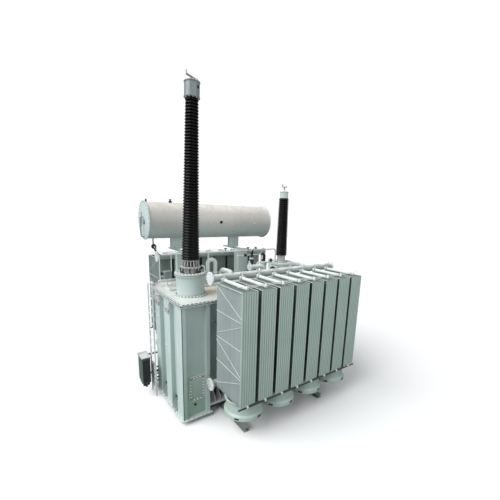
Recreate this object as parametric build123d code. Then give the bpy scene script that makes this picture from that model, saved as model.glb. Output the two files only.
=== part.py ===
from build123d import *
import math
import os

# Oil-filled power transformer: a welded tank on two skid rails, a bolted cover that carries one tall and
# one shorter bushing, an oil conservator behind the cover, and a bank of panel radiators with fans under
# it along the front and along the rear.
# Millimetres. The origin is on the ground at the middle of the plant's footprint, +X along the tank
# towards the shorter bushing, +Y from the front bank to the rear bank, +Z up. Places marked "from left"
# are measured from the tank's left wall, and places marked "from front" from the face of its tower.

# Clearances and overruns
seat_gap = 0.3  # between a curved face and the piece that carries it
overrun = 50  # how far a cutting solid runs past what it cuts

# Flat sides of round pieces that repeat many times
tube_sides = 12
header_sides = 16
ring_sides = 20
rung_sides = 8

# Skid rails
rail_length = 5760
rail_spacing = 3040
rail_height = 120
rail_width = 180
rail_web = 16
rail_flange = 16

# Tank
tank_length = 5900
tank_depth = 3300
tank_top = 3650
tower_width = 870
wall_setback = 300
corner_cut = 700
box_depth = 120
side_box_width = 450
side_box_pitch = 930
side_box_count = 3
front_box_width = 300
front_box_count = 5
first_bay_width = 1170
tray_thickness = 30
tray_overhang = 60
cover_thickness = 70
cover_overhang = 60
hand_hole_from_left = 480
hand_hole_width = 520
hand_hole_height = 820
hand_hole_thickness = 20
hand_hole_base = 620
lug_radius = 55
lug_length = 55
lug_drop = 310

# Radiator banks
group_count = 8
group_pitch = 600
panel_width = 510
panel_height = 3120
panel_thickness = 14
panel_count = 15
bank_depth = 1259
bank_gap = 386
bank_base = 1204
front_bank_offset = 290
rear_bank_lift = 150
collector_radius = 50
upper_collector_inset = 145
lower_collector_inset = 4
header_radius = 110
header_gap = 200
header_overhang = 60
header_rise = 50
header_flange_radius = 195
header_flange_thickness = 36
neck_flange_radius = 85
neck_flange_thickness = 28
neck_flange_gap = 40
stub_radius = 80
stub_bend = 100
stub_rise = 110
stub_reach = 560
stub_flange_radius = 150
stub_flange_thickness = 30
stub_bay_share = 1.5  # of the front boxes' pitch, from the last box to the right stub
stub_from_tower = 590
bottom_bar_width = 50
bottom_bar_thickness = 8

# Fans, one under each pair of radiator groups
fan_radius = 520
fan_rim_radius = 578
fan_wall = 8
fan_height = 490
fan_flare_height = 150
fan_lip = 34
fan_top_flange = 45
hub_radius = 110
hub_height = 180
hub_lift = 240
blade_count = 5
blade_length = 380
blade_chord = 190
blade_thickness = 10
blade_pitch = 24
blade_height_share = 0.33  # of the hub, from its foot to the blades' middle
arm_width = 40
arm_thickness = 12

# Tall bushing
tall_from_left = 720
tall_from_front = 1000
tall_lean = 1.5
tall_turret_radius = 425
tall_turret_height = 615
turret_flange_radius = 490
turret_flange_thickness = 80
neck_radius = 190
neck_height = 150
ring_radius = 305
ring_thickness = 30
cone_low_radius = 265
cone_high_radius = 225
cone_height = 210
cone_rib_count = 12
cone_rib_thickness = 22
cone_core_radius = 200
tall_core_low = 205
tall_core_high = 128
tall_shed_low = 252
tall_shed_high = 170
tall_insulator_length = 4420
tall_shed_count = 20
shed_tip_share = 0.4  # of the pitch, from the foot of a shed to its tip
tall_head_radius = 223
tall_head_height = 430
head_flange_thickness = 30
head_flange_extra = 14
terminal_stem_radius = 28
terminal_stem_height = 80
terminal_plate_length = 340
terminal_plate_width = 90
terminal_plate_thickness = 22
terminal_plate_tilt = 16
prong_height = 95
prong_thickness = 18

# Shorter bushing
short_from_left = 4600
short_from_front = 1300
short_turret_radius = 360
short_turret_height = 660
short_flange_radius = 465
short_flange_thickness = 60
short_neck_radius = 155
short_neck_height = 260
short_core_low = 150
short_core_high = 118
short_shed_low = 199
short_shed_high = 165
short_insulator_length = 2110
short_shed_count = 10
short_head_radius = 166
short_head_height = 250
short_stem_height = 150
short_plate_length = 190

# Neutral bushing
neutral_from_left = 4230
neutral_from_front = 1900
neutral_turret_radius = 110
neutral_turret_height = 640
neutral_core_radius = 42
neutral_shed_radius = 78
neutral_length = 340
neutral_shed_count = 4

# Conservator
conservator_radius = 625
conservator_wall = 10
conservator_length = 5050
conservator_from_left = 10
conservator_from_front = 3250
conservator_axis_z = 5900
end_plate_radius = 665
end_plate_thickness = 24
support_spread = 2450
support_first = 1150
column_width = 520
column_thickness = 180
column_from_front = 2550
beam_height = 60
beam_width = 120
beam_length = 1450
post_width = 450
post_thickness = 120
post_height_share = 0.26  # of the height from the cover to the shell

# Pipes on the cover
pipe_radius = 30
pipe_bend = 120
gas_pipe_from_left = 300
gas_pipe_from_front = 2380
gas_pipe_z = 4800
gas_pipe_length = 4900
gas_pipe_entry_z = 5020
relay_from_left = 1050
relay_length = 260
relay_radius = 85
vent_from_left = 2250
vent_from_rear = 410
vent_radius = 80
vent_bend = 160
vent_span = 330
vent_height = 720
level_pipe_radius = 16
level_pipe_bend = 48
level_pipe_stand = 110

# Ladder and control cabinet
ladder_from_front = 2125
ladder_width = 450
ladder_standoff = 200
ladder_top = 3900
ladder_rail_width = 45
ladder_rail_thickness = 14
rung_radius = 13
rung_pitch = 290
rung_first = 260
guard_width = 360
guard_base = 230
guard_height = 900
guard_thickness = 5
ladder_clip_height = 60
ladder_clip_drop = 130
cabinet_corner_gap = 100  # from the cut corner to the cabinet
cabinet_width = 260
cabinet_depth = 500
cabinet_height = 900
cabinet_base = 520
cabinet_gap = 340
cabinet_roof_overhang = 30
cabinet_roof_thickness = 25
gland_radius = 40
gland_length = 160
gland_count = 3
cabinet_arm_height = 60
cabinet_arm_thickness = 50

# Places that follow from the sizes
cabinet_reach = cabinet_gap + cabinet_width + cabinet_roof_overhang
tank_middle = (cabinet_reach - cover_overhang) / 2
left, right = tank_middle - tank_length / 2, tank_middle + tank_length / 2
front, rear = -tank_depth / 2, tank_depth / 2
tank_base = rail_height + tray_thickness
cover_top = tank_top + cover_thickness
boxed_length = tank_length - tower_width - first_bay_width - box_depth - front_box_width
front_box_pitch = boxed_length / (front_box_count - 1)
bank_length = group_count * group_pitch
front_bank_left = tank_middle + front_bank_offset - bank_length / 2
rear_bank_left = tank_middle - bank_length / 2
bank_top = bank_base + panel_height
tall_x, tall_y = left + tall_from_left, front + tall_from_front
short_x, short_y = left + short_from_left, front + short_from_front
neutral_x, neutral_y = left + neutral_from_left, front + neutral_from_front
conservator_left, conservator_y = left + conservator_from_left, front + conservator_from_front


def block(low, high):
    """A box given by its lowest and highest corners."""
    size = [h - l for l, h in zip(low, high)]
    middle = [(h + l) / 2 for l, h in zip(low, high)]
    return Pos(*middle) * Box(*size)


def upright(radius, height, x, y, z):
    """A round bar that stands on height z."""
    return Pos(x, y, z + height / 2) * Cylinder(radius, height)


def flat_sided(radius, sides):
    """A regular outline whose flat sides lie at the given radius, one of them facing each axis."""
    return RegularPolygon(radius, sides, major_radius=False, rotation=180 / sides)


def stacked(points, sides):
    """A body of flat faces about Z, through rings of corners at points of radius and rising height."""
    spread = 1 / math.cos(math.pi / sides)
    turns = [2 * math.pi * (k + 0.5) / sides for k in range(sides)]
    rings = [[(r * spread * math.cos(t), r * spread * math.sin(t), z) for t in turns] for r, z in points]
    outlines = [rings[0], rings[-1]]
    for low, high in zip(rings, rings[1:]):
        outlines += [[low[k - 1], low[k], high[k], high[k - 1]] for k in range(sides)]
    return Solid(Shell([Face(Wire.make_polygon(outline)) for outline in outlines]))


def lying_x(radius, length, x, y, z, sides=tube_sides):
    """A tube of flat sides along X that starts at x."""
    return Pos(x, y, z) * Rot(0, 90, 0) * extrude(flat_sided(radius, sides), length)


def lying_y(radius, length, x, y, z, sides=tube_sides):
    """A tube of flat sides along Y that starts at y."""
    return Pos(x, y, z) * Rot(-90, 0, 0) * extrude(flat_sided(radius, sides), length)


def pipe(points, radius, bend):
    """A pipe of flat sides along straight runs that are joined by bends."""
    path = FilletPolyline(*points, radius=bend)
    return sweep(Plane(origin=path @ 0, z_dir=path % 0) * flat_sided(radius, tube_sides), path=path)


def save(name, solids):
    """Writes one node, given as a list of solids that lie apart or one solid."""
    pieces = solids if isinstance(solids, list) else [solids]
    export_step(Compound(children=[s for p in pieces for s in p.solids()]), f"parts/{name}.step")


def skid_rails():
    """Two rolled I-beams across the tank, with the flanges level."""
    rails = []
    for side in (-1, 1):
        x = tank_middle + side * rail_spacing / 2
        y = rail_length / 2
        foot = block((x - rail_width / 2, -y, 0), (x + rail_width / 2, y, rail_flange))
        web = block((x - rail_web / 2, -y, 0), (x + rail_web / 2, y, rail_height))
        head = Pos(0, 0, rail_height - rail_flange) * foot
        rails.append(foot + web + head)
    return rails


def outline(grow, setback):
    """The tank's plan, with the tower at the front left and the cut corner at the rear left."""
    step = left + tower_width
    cut = corner_cut + grow * math.tan(math.radians(22.5))
    points = [
        (left - grow, front - grow),
        (step + grow, front - grow),
        (step + grow, front - grow + setback),
        (right + grow, front - grow + setback),
        (right + grow, rear + grow),
        (left - grow + cut, rear + grow),
        (left - grow, rear + grow - cut),
    ]
    if not setback:
        points = points[:1] + [(right + grow, front - grow)] + points[4:]
    return make_face(Polyline(*points, close=True))


def tank_tray():
    """The base plate under the tank wall, with a rim that stands out for its gussets."""
    return Pos(0, 0, rail_height) * extrude(outline(tray_overhang, wall_setback), tray_thickness)


def tank_body():
    """The tank wall, set in by the depth of the box stiffeners."""
    return Pos(0, 0, tank_base) * extrude(outline(-box_depth, wall_setback), tank_top - tank_base)


def side_box_start(side, i):
    """The front edge of an upright box on the left wall (side -1) or the right wall (side 1)."""
    return front + i * side_box_pitch + (wall_setback if side > 0 else 0)


def tank_stiffeners():
    """Upright box stiffeners on the four walls, each as deep as the wall is set in."""
    boxes = []
    for side, wall in ((-1, left), (1, right)):
        low, high = sorted((wall, wall - side * box_depth))
        for i in range(side_box_count):
            y = side_box_start(side, i)
            boxes.append(block((low, y, tank_base), (high, y + side_box_width, tank_top)))
    set_back_wall = front + wall_setback
    half = front_box_width / 2
    for i in range(front_box_count):
        x = right - box_depth - half - i * front_box_pitch
        boxes.append(block((x - half, set_back_wall, tank_base), (x + half, set_back_wall + box_depth, tank_top)))
        boxes.append(block((x - half, rear - box_depth, tank_base), (x + half, rear, tank_top)))
    tower_end = left + tower_width
    post = block((tower_end - box_depth, front, tank_base), (tower_end, set_back_wall + box_depth, tank_top))
    return boxes + [post]


def tank_cover():
    """The flat cover with its bolted edge, straight along the front across the set-back wall."""
    return Pos(0, 0, tank_top) * extrude(outline(cover_overhang, 0), cover_thickness)


def hand_hole_cover():
    """The bolted plate low on the front of the tower, between its two corner posts."""
    x = left + hand_hole_from_left
    y = front + box_depth
    low = (x - hand_hole_width / 2, y - hand_hole_thickness, hand_hole_base)
    high = (x + hand_hole_width / 2, y, hand_hole_base + hand_hole_height)
    return block(low, high)


def lifting_lugs():
    """Short round lugs under the cover, on the boxes of the left wall and the right wall."""
    lugs = []
    z = tank_top - lug_drop
    for side, start in ((-1, left - lug_length), (1, right)):
        for i in range(1, side_box_count):
            lugs.append(lying_x(lug_radius, lug_length, start, side_box_start(side, i) + 2 * lug_radius, z))
    return lugs


def group_x(bank_left, i):
    """The middle of a radiator group, from the left end of its bank."""
    return bank_left + (i + 0.5) * group_pitch


def radiators(side, pair):
    """Two radiators: upright panels with one collector tube over them and one under them."""
    bank_left = front_bank_left if side < 0 else rear_bank_left
    lift = 0 if side < 0 else rear_bank_lift
    near, far = tank_depth / 2 + bank_gap, tank_depth / 2 + bank_gap + bank_depth
    step = (bank_depth - panel_thickness) / (panel_count - 1)
    header_face = tank_depth / 2 + header_gap + math.sqrt(header_radius**2 - header_rise**2)
    tube_start = header_face + seat_gap + neck_flange_gap
    upper, lower = bank_top + collector_radius, bank_base - collector_radius
    pieces = []
    for i in (2 * pair, 2 * pair + 1):
        x = group_x(bank_left, i)
        for k in range(panel_count):
            y = side * (near + panel_thickness / 2 + k * step)
            low = (x - panel_width / 2, y - panel_thickness / 2, bank_base + lift)
            high = (x + panel_width / 2, y + panel_thickness / 2, bank_top + lift)
            pieces.append(block(low, high))
        for z, inset in ((upper, upper_collector_inset), (lower, lower_collector_inset)):
            low_y, high_y = sorted((side * tube_start, side * (far - inset)))
            pieces.append(lying_y(collector_radius, high_y - low_y, x, low_y, z + lift))
    return pieces


def headers(side):
    """The upper and lower header pipes of a bank, with end flanges, necks and stubs into the tank."""
    bank_left = front_bank_left if side < 0 else rear_bank_left
    lift = 0 if side < 0 else rear_bank_lift
    y = side * (tank_depth / 2 + header_gap)
    start = bank_left - header_overhang
    length = bank_length + 2 * header_overhang
    reach = math.sqrt(header_radius**2 - header_rise**2) + neck_flange_gap
    pieces = []
    upper, lower = bank_top + collector_radius + lift, bank_base - collector_radius + lift
    for z, axis_z in ((upper, upper + header_rise), (lower, lower + header_rise)):
        whole = lying_x(header_radius, length, start, y, axis_z, header_sides)
        for x in (start - header_flange_thickness, start + length):
            whole += lying_x(header_flange_radius, header_flange_thickness, x, y, axis_z, ring_sides)
        for i in range(group_count):
            x = group_x(bank_left, i)
            low_y, high_y = sorted((y, y + side * reach))
            whole += lying_y(collector_radius, high_y - low_y, x, low_y, z)
            low_y, high_y = sorted((y + side * (reach - neck_flange_thickness), y + side * reach))
            whole += lying_y(neck_flange_radius, high_y - low_y, x, low_y, z)
        pieces.append(whole + stubs(side, y, axis_z))
    return pieces


def stubs(side, y, z):
    """The pipes from a header to the tank: over the cover's edge from the upper one, or straight in."""
    last_box = right - box_depth - front_box_width / 2
    right_stub = last_box - stub_bay_share * front_box_pitch
    whole = None
    for x in (right_stub, left + tower_width + stub_from_tower):
        if z > cover_top:
            inner = y - side * stub_reach
            crown = z + stub_rise
            route = [(x, y, z), (x, y, crown), (x, inner, crown), (x, inner, cover_top)]
            piece = pipe(route, stub_radius, stub_bend)
            foot = Pos(x, inner, cover_top) * extrude(flat_sided(stub_flange_radius, ring_sides), stub_flange_thickness)
        else:
            wall = front + wall_setback + box_depth if side < 0 else rear - box_depth
            low_y, high_y = sorted((y, wall))
            piece = lying_y(stub_radius, high_y - low_y, x, low_y, z)
            seat = wall - stub_flange_thickness if side < 0 else wall
            foot = lying_y(stub_flange_radius, stub_flange_thickness, x, seat, z, ring_sides)
        whole = piece + foot if whole is None else whole + piece + foot
    return whole


def bottom_bars():
    """The flat bars across the outer ends of the lower collectors of each bank."""
    bars = []
    for side, bank_left, lift in ((-1, front_bank_left, 0), (1, rear_bank_left, rear_bank_lift)):
        seat = side * (tank_depth / 2 + bank_gap + bank_depth - lower_collector_inset)
        low_y, high_y = sorted((seat, seat + side * bottom_bar_thickness))
        z = bank_base - collector_radius + lift
        low = (bank_left, low_y, z - bottom_bar_width / 2)
        bars.append(block(low, (bank_left + bank_length, high_y, z + bottom_bar_width / 2)))
    return bars


def fan_places(side):
    """The middle of each fan of one bank, and the height of its lower rim."""
    bank_left = front_bank_left if side < 0 else rear_bank_left
    lift = 0 if side < 0 else rear_bank_lift
    y = side * (tank_depth / 2 + bank_gap + bank_depth / 2)
    z = bank_base - 2 * collector_radius - fan_height + lift
    return [(bank_left + (2 * i + 1) * group_pitch, y, z) for i in range(group_count // 2)]


def fan_housing():
    """A duct with a bolting flange at the top and a bell mouth with a rolled lip below."""
    outer = stacked(
        [(fan_rim_radius, 0), (fan_rim_radius, fan_lip), (fan_radius, fan_flare_height), (fan_radius, fan_height)],
        ring_sides,
    )
    flange = extrude(flat_sided(fan_radius + fan_top_flange, ring_sides), fan_wall)
    bore = stacked(
        [
            (fan_rim_radius - fan_wall, -overrun),
            (fan_rim_radius - fan_wall, fan_lip),
            (fan_radius - fan_wall, fan_flare_height),
            (fan_radius - fan_wall, fan_height + overrun),
        ],
        ring_sides,
    )
    return outer + Pos(0, 0, fan_height - fan_wall) * flange - bore


def fan_rotor():
    """The hub with pitched blades, and the flat arms that carry the motor in the duct."""
    rotor = Pos(0, 0, hub_lift) * extrude(flat_sided(hub_radius, tube_sides), hub_height)
    place = Pos(hub_radius + blade_length / 2 - blade_thickness, 0, hub_lift + blade_height_share * hub_height)
    for i in range(blade_count):
        blade = Box(blade_length, blade_chord, blade_thickness)
        rotor += Rot(0, 0, i * 360 / blade_count) * place * Rot(blade_pitch, 0, 0) * blade
    reach = fan_radius - fan_wall
    arm_top = hub_lift + hub_height
    arm = block((-reach, -arm_width / 2, arm_top - arm_thickness), (reach, arm_width / 2, arm_top))
    return rotor + arm + Rot(0, 0, 90) * arm


def insulator(core_low, core_high, shed_low, shed_high, length, count, sides):
    """A tapering core with umbrella sheds, through their feet and tips."""
    points = [(core_low, 0)]
    pitch = length / count
    for i in range(count):
        share = (i + 0.5) / count
        core = core_low + (core_high - core_low) * share
        shed = shed_low + (shed_high - shed_low) * share
        points += [(shed, (i + shed_tip_share) * pitch), (core, (i + 1) * pitch)]
    return stacked(points, sides)


def leaning(piece):
    """Turns a piece of the tall bushing by its lean, about the middle of its turret's flange."""
    z = cover_top + tall_turret_height + turret_flange_thickness
    return Pos(tall_x, tall_y, z) * Rot(tall_lean / math.sqrt(2), tall_lean / math.sqrt(2), 0) * piece


def turret(x, y, radius, height, flange_radius, flange_thickness):
    """A round turret on the cover with a thick bolting flange on top."""
    return upright(radius, height, x, y, cover_top) + upright(
        flange_radius, flange_thickness, x, y, cover_top + height
    )


def tall_base():
    """The neck, ring flange and ribbed cone that clamp the tall insulator."""
    ring_z = neck_height
    cone_z = ring_z + ring_thickness
    base = upright(neck_radius, neck_height + overrun, 0, 0, -overrun)
    base += upright(ring_radius, ring_thickness, 0, 0, ring_z)
    base += upright(cone_core_radius, cone_height, 0, 0, cone_z)
    rib = [
        (0, cone_z),
        (cone_low_radius, cone_z),
        (cone_high_radius, cone_z + cone_height),
        (0, cone_z + cone_height),
    ]
    web = extrude(make_face(Plane.XZ * Polyline(*rib, close=True)), cone_rib_thickness / 2, both=True)
    for i in range(cone_rib_count):
        base += Rot(0, 0, i * 360 / cone_rib_count) * web
    leant = leaning(base)
    flange_top = cover_top + tall_turret_height + turret_flange_thickness
    below = upright(turret_flange_radius, 2 * overrun, tall_x, tall_y, flange_top - 2 * overrun)
    return leant - below


def head(radius, height):
    """The metal head of a bushing: a casing with a bolted flange at each end."""
    core = radius - head_flange_extra
    shoulder = height - head_flange_thickness
    casing = extrude(flat_sided(core, ring_sides), height)
    for z in (0, shoulder):
        casing += Pos(0, 0, z) * extrude(flat_sided(radius, ring_sides), head_flange_thickness)
    return casing


def terminal(stem_height, plate_length, tilt):
    """The stem with a tilted plate and an upright prong at each end of the plate."""
    stem = extrude(flat_sided(terminal_stem_radius, tube_sides), stem_height)
    plate = Box(plate_length, terminal_plate_width, terminal_plate_thickness)
    for side in (-1, 1):
        x = side * (plate_length - prong_thickness) / 2
        prong = Box(prong_thickness, terminal_plate_width, prong_height)
        plate += Pos(x, 0, prong_height / 2) * prong
    return stem + Pos(0, 0, stem_height) * Rot(0, tilt, 0) * plate


def along_conservator(radius, start, length):
    """A round body on the conservator's axis that starts at x."""
    return Pos(start + length / 2, conservator_y, conservator_axis_z) * Rot(0, 90, 0) * Cylinder(radius, length)


def conservator_shell():
    """The rolled shell between the two end plates."""
    start = conservator_left + end_plate_thickness
    length = conservator_length - 2 * end_plate_thickness
    outer = along_conservator(conservator_radius, start, length)
    return outer - along_conservator(conservator_radius - conservator_wall, start, length)


def conservator_support(i):
    """A column on the cover, a beam that reaches back over the edge, and a saddle post on the beam."""
    x = conservator_left + support_first + i * support_spread
    column_y = front + column_from_front
    shell_base = conservator_axis_z - conservator_radius
    beam_base = shell_base - post_height_share * (shell_base - cover_top) - beam_height
    column = block(
        (x - column_width / 2, column_y, cover_top),
        (x + column_width / 2, column_y + column_thickness, beam_base),
    )
    beam = block(
        (x - beam_width / 2, column_y, beam_base),
        (x + beam_width / 2, column_y + beam_length, beam_base + beam_height),
    )
    post = block(
        (x - post_width / 2, conservator_y - post_thickness / 2, beam_base + beam_height),
        (x + post_width / 2, conservator_y + post_thickness / 2, conservator_axis_z),
    )
    bed = along_conservator(
        conservator_radius + seat_gap, x - post_width / 2 - overrun, post_width + 2 * overrun
    )
    return column + beam + (post - bed)


def gas_pipe():
    """The pipe from the conservator along the cover to a flange behind the shorter bushing."""
    x, y = left + gas_pipe_from_left, front + gas_pipe_from_front
    far_x = x + gas_pipe_length
    points = [
        (x, conservator_y, conservator_axis_z - conservator_radius - seat_gap),
        (x, conservator_y, gas_pipe_entry_z),
        (x, y, gas_pipe_z),
        (far_x, y, gas_pipe_z),
        (far_x, y, cover_top),
    ]
    line = pipe(points, pipe_radius, pipe_bend)
    return line + lying_x(relay_radius, relay_length, left + relay_from_left, y, gas_pipe_z)


def vent_pipe():
    """An upside-down U of pipe that stands on the cover."""
    x, y = left + vent_from_left, rear - vent_from_rear
    crown = cover_top + vent_height
    points = [(x, y, cover_top), (x, y, crown), (x + vent_span, y, crown), (x + vent_span, y, cover_top)]
    return pipe(points, vent_radius, vent_bend)


def level_pipe():
    """The thin pipe down the left end of the conservator, back into its end plate."""
    x, outer = conservator_left, conservator_left - level_pipe_stand
    top = conservator_axis_z + level_pipe_stand
    foot = top - end_plate_radius
    points = [(x, conservator_y, top), (outer, conservator_y, top), (outer, conservator_y, foot),
              (x, conservator_y, foot)]
    return pipe(points, level_pipe_radius, level_pipe_bend)


def ladder():
    """Two flat stringers with rungs, a clip to the tank wall, and a guard plate below."""
    x = left - ladder_standoff
    near_y = front + ladder_from_front - ladder_width / 2
    half = ladder_rail_thickness / 2
    pieces = None
    for y in (near_y, near_y + ladder_width):
        rail = block((x - ladder_rail_width / 2, y - half, 0), (x + ladder_rail_width / 2, y + half, ladder_top))
        pieces = rail if pieces is None else pieces + rail
    for k in range(int((ladder_top - rung_first) // rung_pitch)):
        pieces += lying_y(rung_radius, ladder_width, x, near_y, rung_first + k * rung_pitch, rung_sides)
    clip_z = tank_top - ladder_clip_drop
    pieces += block((x, near_y - half, clip_z), (left, near_y + half, clip_z + ladder_clip_height))
    guard_x = x + ladder_rail_width / 2
    pieces += block(
        (guard_x, near_y - half, guard_base),
        (guard_x + guard_thickness, near_y + guard_width, guard_base + guard_height),
    )
    return pieces


def control_cabinet():
    """The control box beside the ladder, with a roof, cable glands below and two arms to the tank."""
    back = left - cabinet_gap
    far_y = rear - corner_cut - cabinet_corner_gap
    low = (back - cabinet_width, far_y - cabinet_depth, cabinet_base)
    high = (back, far_y, cabinet_base + cabinet_height)
    box = block(low, high)
    lip = cabinet_roof_overhang
    box += block(
        (low[0] - lip, low[1] - lip, high[2]), (high[0] + lip, high[1] + lip, high[2] + cabinet_roof_thickness)
    )
    for i in range(gland_count):
        y = low[1] + cabinet_depth * (i + 0.5) / gland_count
        gland = extrude(flat_sided(gland_radius, tube_sides), gland_length)
        box += Pos(back - cabinet_width / 2, y, cabinet_base - gland_length) * gland
    for z in (cabinet_base + cabinet_arm_height, high[2] - 2 * cabinet_arm_height):
        arm_low = (back, high[1] - cabinet_arm_thickness, z)
        box += block(arm_low, (left + box_depth, high[1], z + cabinet_arm_height))
    return box


os.makedirs("parts", exist_ok=True)

save("skid_rails", skid_rails())
save("tank_tray", tank_tray())
save("tank_body", tank_body())
save("tank_stiffeners", tank_stiffeners())
save("tank_cover", tank_cover())
save("hand_hole_cover", hand_hole_cover())
save("lifting_lugs", lifting_lugs())

for name, side in (("front", -1), ("rear", 1)):
    for pair in range(group_count // 2):
        save(f"{name}_radiators_{pair + 1}", radiators(side, pair))
    save(f"{name}_headers", headers(side))
    save(f"{name}_fan_housings", [Pos(*place) * fan_housing() for place in fan_places(side)])
    save(f"{name}_fan_rotors", [Pos(*place) * fan_rotor() for place in fan_places(side)])
save("bottom_bars", bottom_bars())

tall_flange = (turret_flange_radius, turret_flange_thickness)
save("tall_turret", turret(tall_x, tall_y, tall_turret_radius, tall_turret_height, *tall_flange))
save("tall_bushing_base", tall_base())
tall_sheds = (tall_core_low, tall_core_high, tall_shed_low, tall_shed_high)
tall_body = insulator(*tall_sheds, tall_insulator_length, tall_shed_count, ring_sides)
insulator_z = neck_height + ring_thickness + cone_height
save("tall_insulator", leaning(Pos(0, 0, insulator_z) * tall_body))
head_z = insulator_z + tall_insulator_length
save("tall_head", leaning(Pos(0, 0, head_z) * head(tall_head_radius, tall_head_height)))
tall_terminal = terminal(terminal_stem_height, terminal_plate_length, terminal_plate_tilt)
save("tall_terminal", leaning(Pos(0, 0, head_z + tall_head_height) * tall_terminal))

short_flange = (short_flange_radius, short_flange_thickness)
save("short_turret", turret(short_x, short_y, short_turret_radius, short_turret_height, *short_flange))
short_z = cover_top + short_turret_height + short_flange_thickness
save("short_bushing_base", upright(short_neck_radius, short_neck_height, short_x, short_y, short_z))
short_sheds = (short_core_low, short_core_high, short_shed_low, short_shed_high)
short_body = insulator(*short_sheds, short_insulator_length, short_shed_count, header_sides)
short_z += short_neck_height
save("short_insulator", Pos(short_x, short_y, short_z) * short_body)
short_z += short_insulator_length
save("short_head", Pos(short_x, short_y, short_z) * head(short_head_radius, short_head_height))
short_z += short_head_height
save("short_terminal", Pos(short_x, short_y, short_z) * terminal(short_stem_height, short_plate_length, 0))

neutral_turret = extrude(flat_sided(neutral_turret_radius, ring_sides), neutral_turret_height)
neutral_sheds = (neutral_core_radius, neutral_core_radius, neutral_shed_radius, neutral_shed_radius)
neutral_body = insulator(*neutral_sheds, neutral_length, neutral_shed_count, tube_sides)
save("neutral_turret", Pos(neutral_x, neutral_y, cover_top) * neutral_turret)
save("neutral_bushing", Pos(neutral_x, neutral_y, cover_top + neutral_turret_height) * neutral_body)

plate = end_plate_thickness
save("conservator_shell", conservator_shell())
save("conservator_end_left", along_conservator(end_plate_radius, conservator_left, plate))
right_end = conservator_left + conservator_length - plate
save("conservator_end_right", along_conservator(end_plate_radius, right_end, plate))
save("conservator_support_left", conservator_support(0))
save("conservator_support_right", conservator_support(1))
save("level_pipe", level_pipe())
save("gas_pipe", gas_pipe())
save("vent_pipe", vent_pipe())

save("ladder", ladder())
save("control_cabinet", control_cabinet())
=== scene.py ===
import math
import bpy
import numpy as np
from mathutils import Matrix, Vector


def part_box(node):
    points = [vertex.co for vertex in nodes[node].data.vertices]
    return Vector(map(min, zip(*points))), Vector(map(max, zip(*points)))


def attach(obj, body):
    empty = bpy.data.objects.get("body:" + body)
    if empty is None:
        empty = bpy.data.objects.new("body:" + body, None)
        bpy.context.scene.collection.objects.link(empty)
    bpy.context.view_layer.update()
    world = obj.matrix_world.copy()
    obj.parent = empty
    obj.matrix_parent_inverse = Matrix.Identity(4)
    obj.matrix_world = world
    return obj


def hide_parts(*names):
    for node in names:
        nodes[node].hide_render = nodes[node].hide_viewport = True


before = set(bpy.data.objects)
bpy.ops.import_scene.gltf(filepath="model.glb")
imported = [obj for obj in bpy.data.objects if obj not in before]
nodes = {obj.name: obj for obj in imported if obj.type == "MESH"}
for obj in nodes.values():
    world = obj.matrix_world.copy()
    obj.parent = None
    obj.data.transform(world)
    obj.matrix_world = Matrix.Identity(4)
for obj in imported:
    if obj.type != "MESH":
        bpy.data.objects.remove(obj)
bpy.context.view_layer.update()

# The view and the light. The transformer is seen from its front left corner, from a little above its cover,
# in soft daylight that comes from the upper left and leaves the front faces in light shade.
focal_px, image_px, sensor_mm = 296.2, 500, 36
photo_middle_px = (252.8, 279.5)
camera_turn, camera_rise, camera_roll = (math.radians(degrees) for degrees in (-35.44, 12.2, 1.62))
camera_data = bpy.data.cameras.new("photo_view")
camera_data.lens = focal_px / image_px * sensor_mm
camera_data.sensor_width = sensor_mm
camera_data.shift_x = (image_px / 2 - photo_middle_px[0]) / image_px
camera_data.shift_y = (photo_middle_px[1] - image_px / 2) / image_px
camera = bpy.data.objects.new("photo_view", camera_data)
bpy.context.scene.collection.objects.link(camera)
backward = Vector((
    math.sin(camera_turn) * math.cos(camera_rise),
    -math.cos(camera_turn) * math.cos(camera_rise),
    math.sin(camera_rise),
))
level_right = Vector((math.cos(camera_turn), math.sin(camera_turn), 0))
level_up = backward.cross(level_right)
rolled_right = math.cos(camera_roll) * level_right + math.sin(camera_roll) * level_up
rolled_up = -math.sin(camera_roll) * level_right + math.cos(camera_roll) * level_up
turn = Matrix((rolled_right, rolled_up, backward)).transposed()
tank_low, tank_high = map(np.array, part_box("tank_stiffeners"))
camera_from_tower = Vector((-2.886, -7.373, 6.163))
camera.matrix_world = Matrix.Translation(Vector((*tank_low[:2], 0)) + camera_from_tower) @ turn.to_4x4()
bpy.context.scene.camera = camera
bpy.context.scene.view_settings.view_transform = "Standard"

sky = bpy.data.worlds.new("soft_sky")
sky.use_nodes = True
links = sky.node_tree.links
sky_light = sky.node_tree.nodes["Background"]
sky_light.inputs["Color"].default_value = (0.93, 0.97, 1.0, 1)
sky_light.inputs["Strength"].default_value = 0.4
white_wall = sky.node_tree.nodes.new("ShaderNodeBackground")
white_wall.inputs["Color"].default_value = (1, 1, 1, 1)
white_wall.inputs["Strength"].default_value = 1.05
ray = sky.node_tree.nodes.new("ShaderNodeLightPath")
mix = sky.node_tree.nodes.new("ShaderNodeMixShader")
links.new(ray.outputs["Is Camera Ray"], mix.inputs[0])
links.new(sky_light.outputs[0], mix.inputs[1])
links.new(white_wall.outputs[0], mix.inputs[2])
links.new(mix.outputs[0], sky.node_tree.nodes["World Output"].inputs["Surface"])
bpy.context.scene.world = sky
for name, towards, strength, softness in (
    ("upper_left_light", (-0.74, 0.04, 0.67), 3.3, 55),
    ("front_fill", (0.2, -0.9, 0.35), 0.8, 60),
):
    lamp = bpy.data.lights.new(name, "SUN")
    lamp.energy, lamp.angle = strength, math.radians(softness)
    holder = bpy.data.objects.new(name, lamp)
    holder.rotation_euler = Vector(towards).to_track_quat("Z", "Y").to_euler()
    bpy.context.scene.collection.objects.link(holder)


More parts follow.
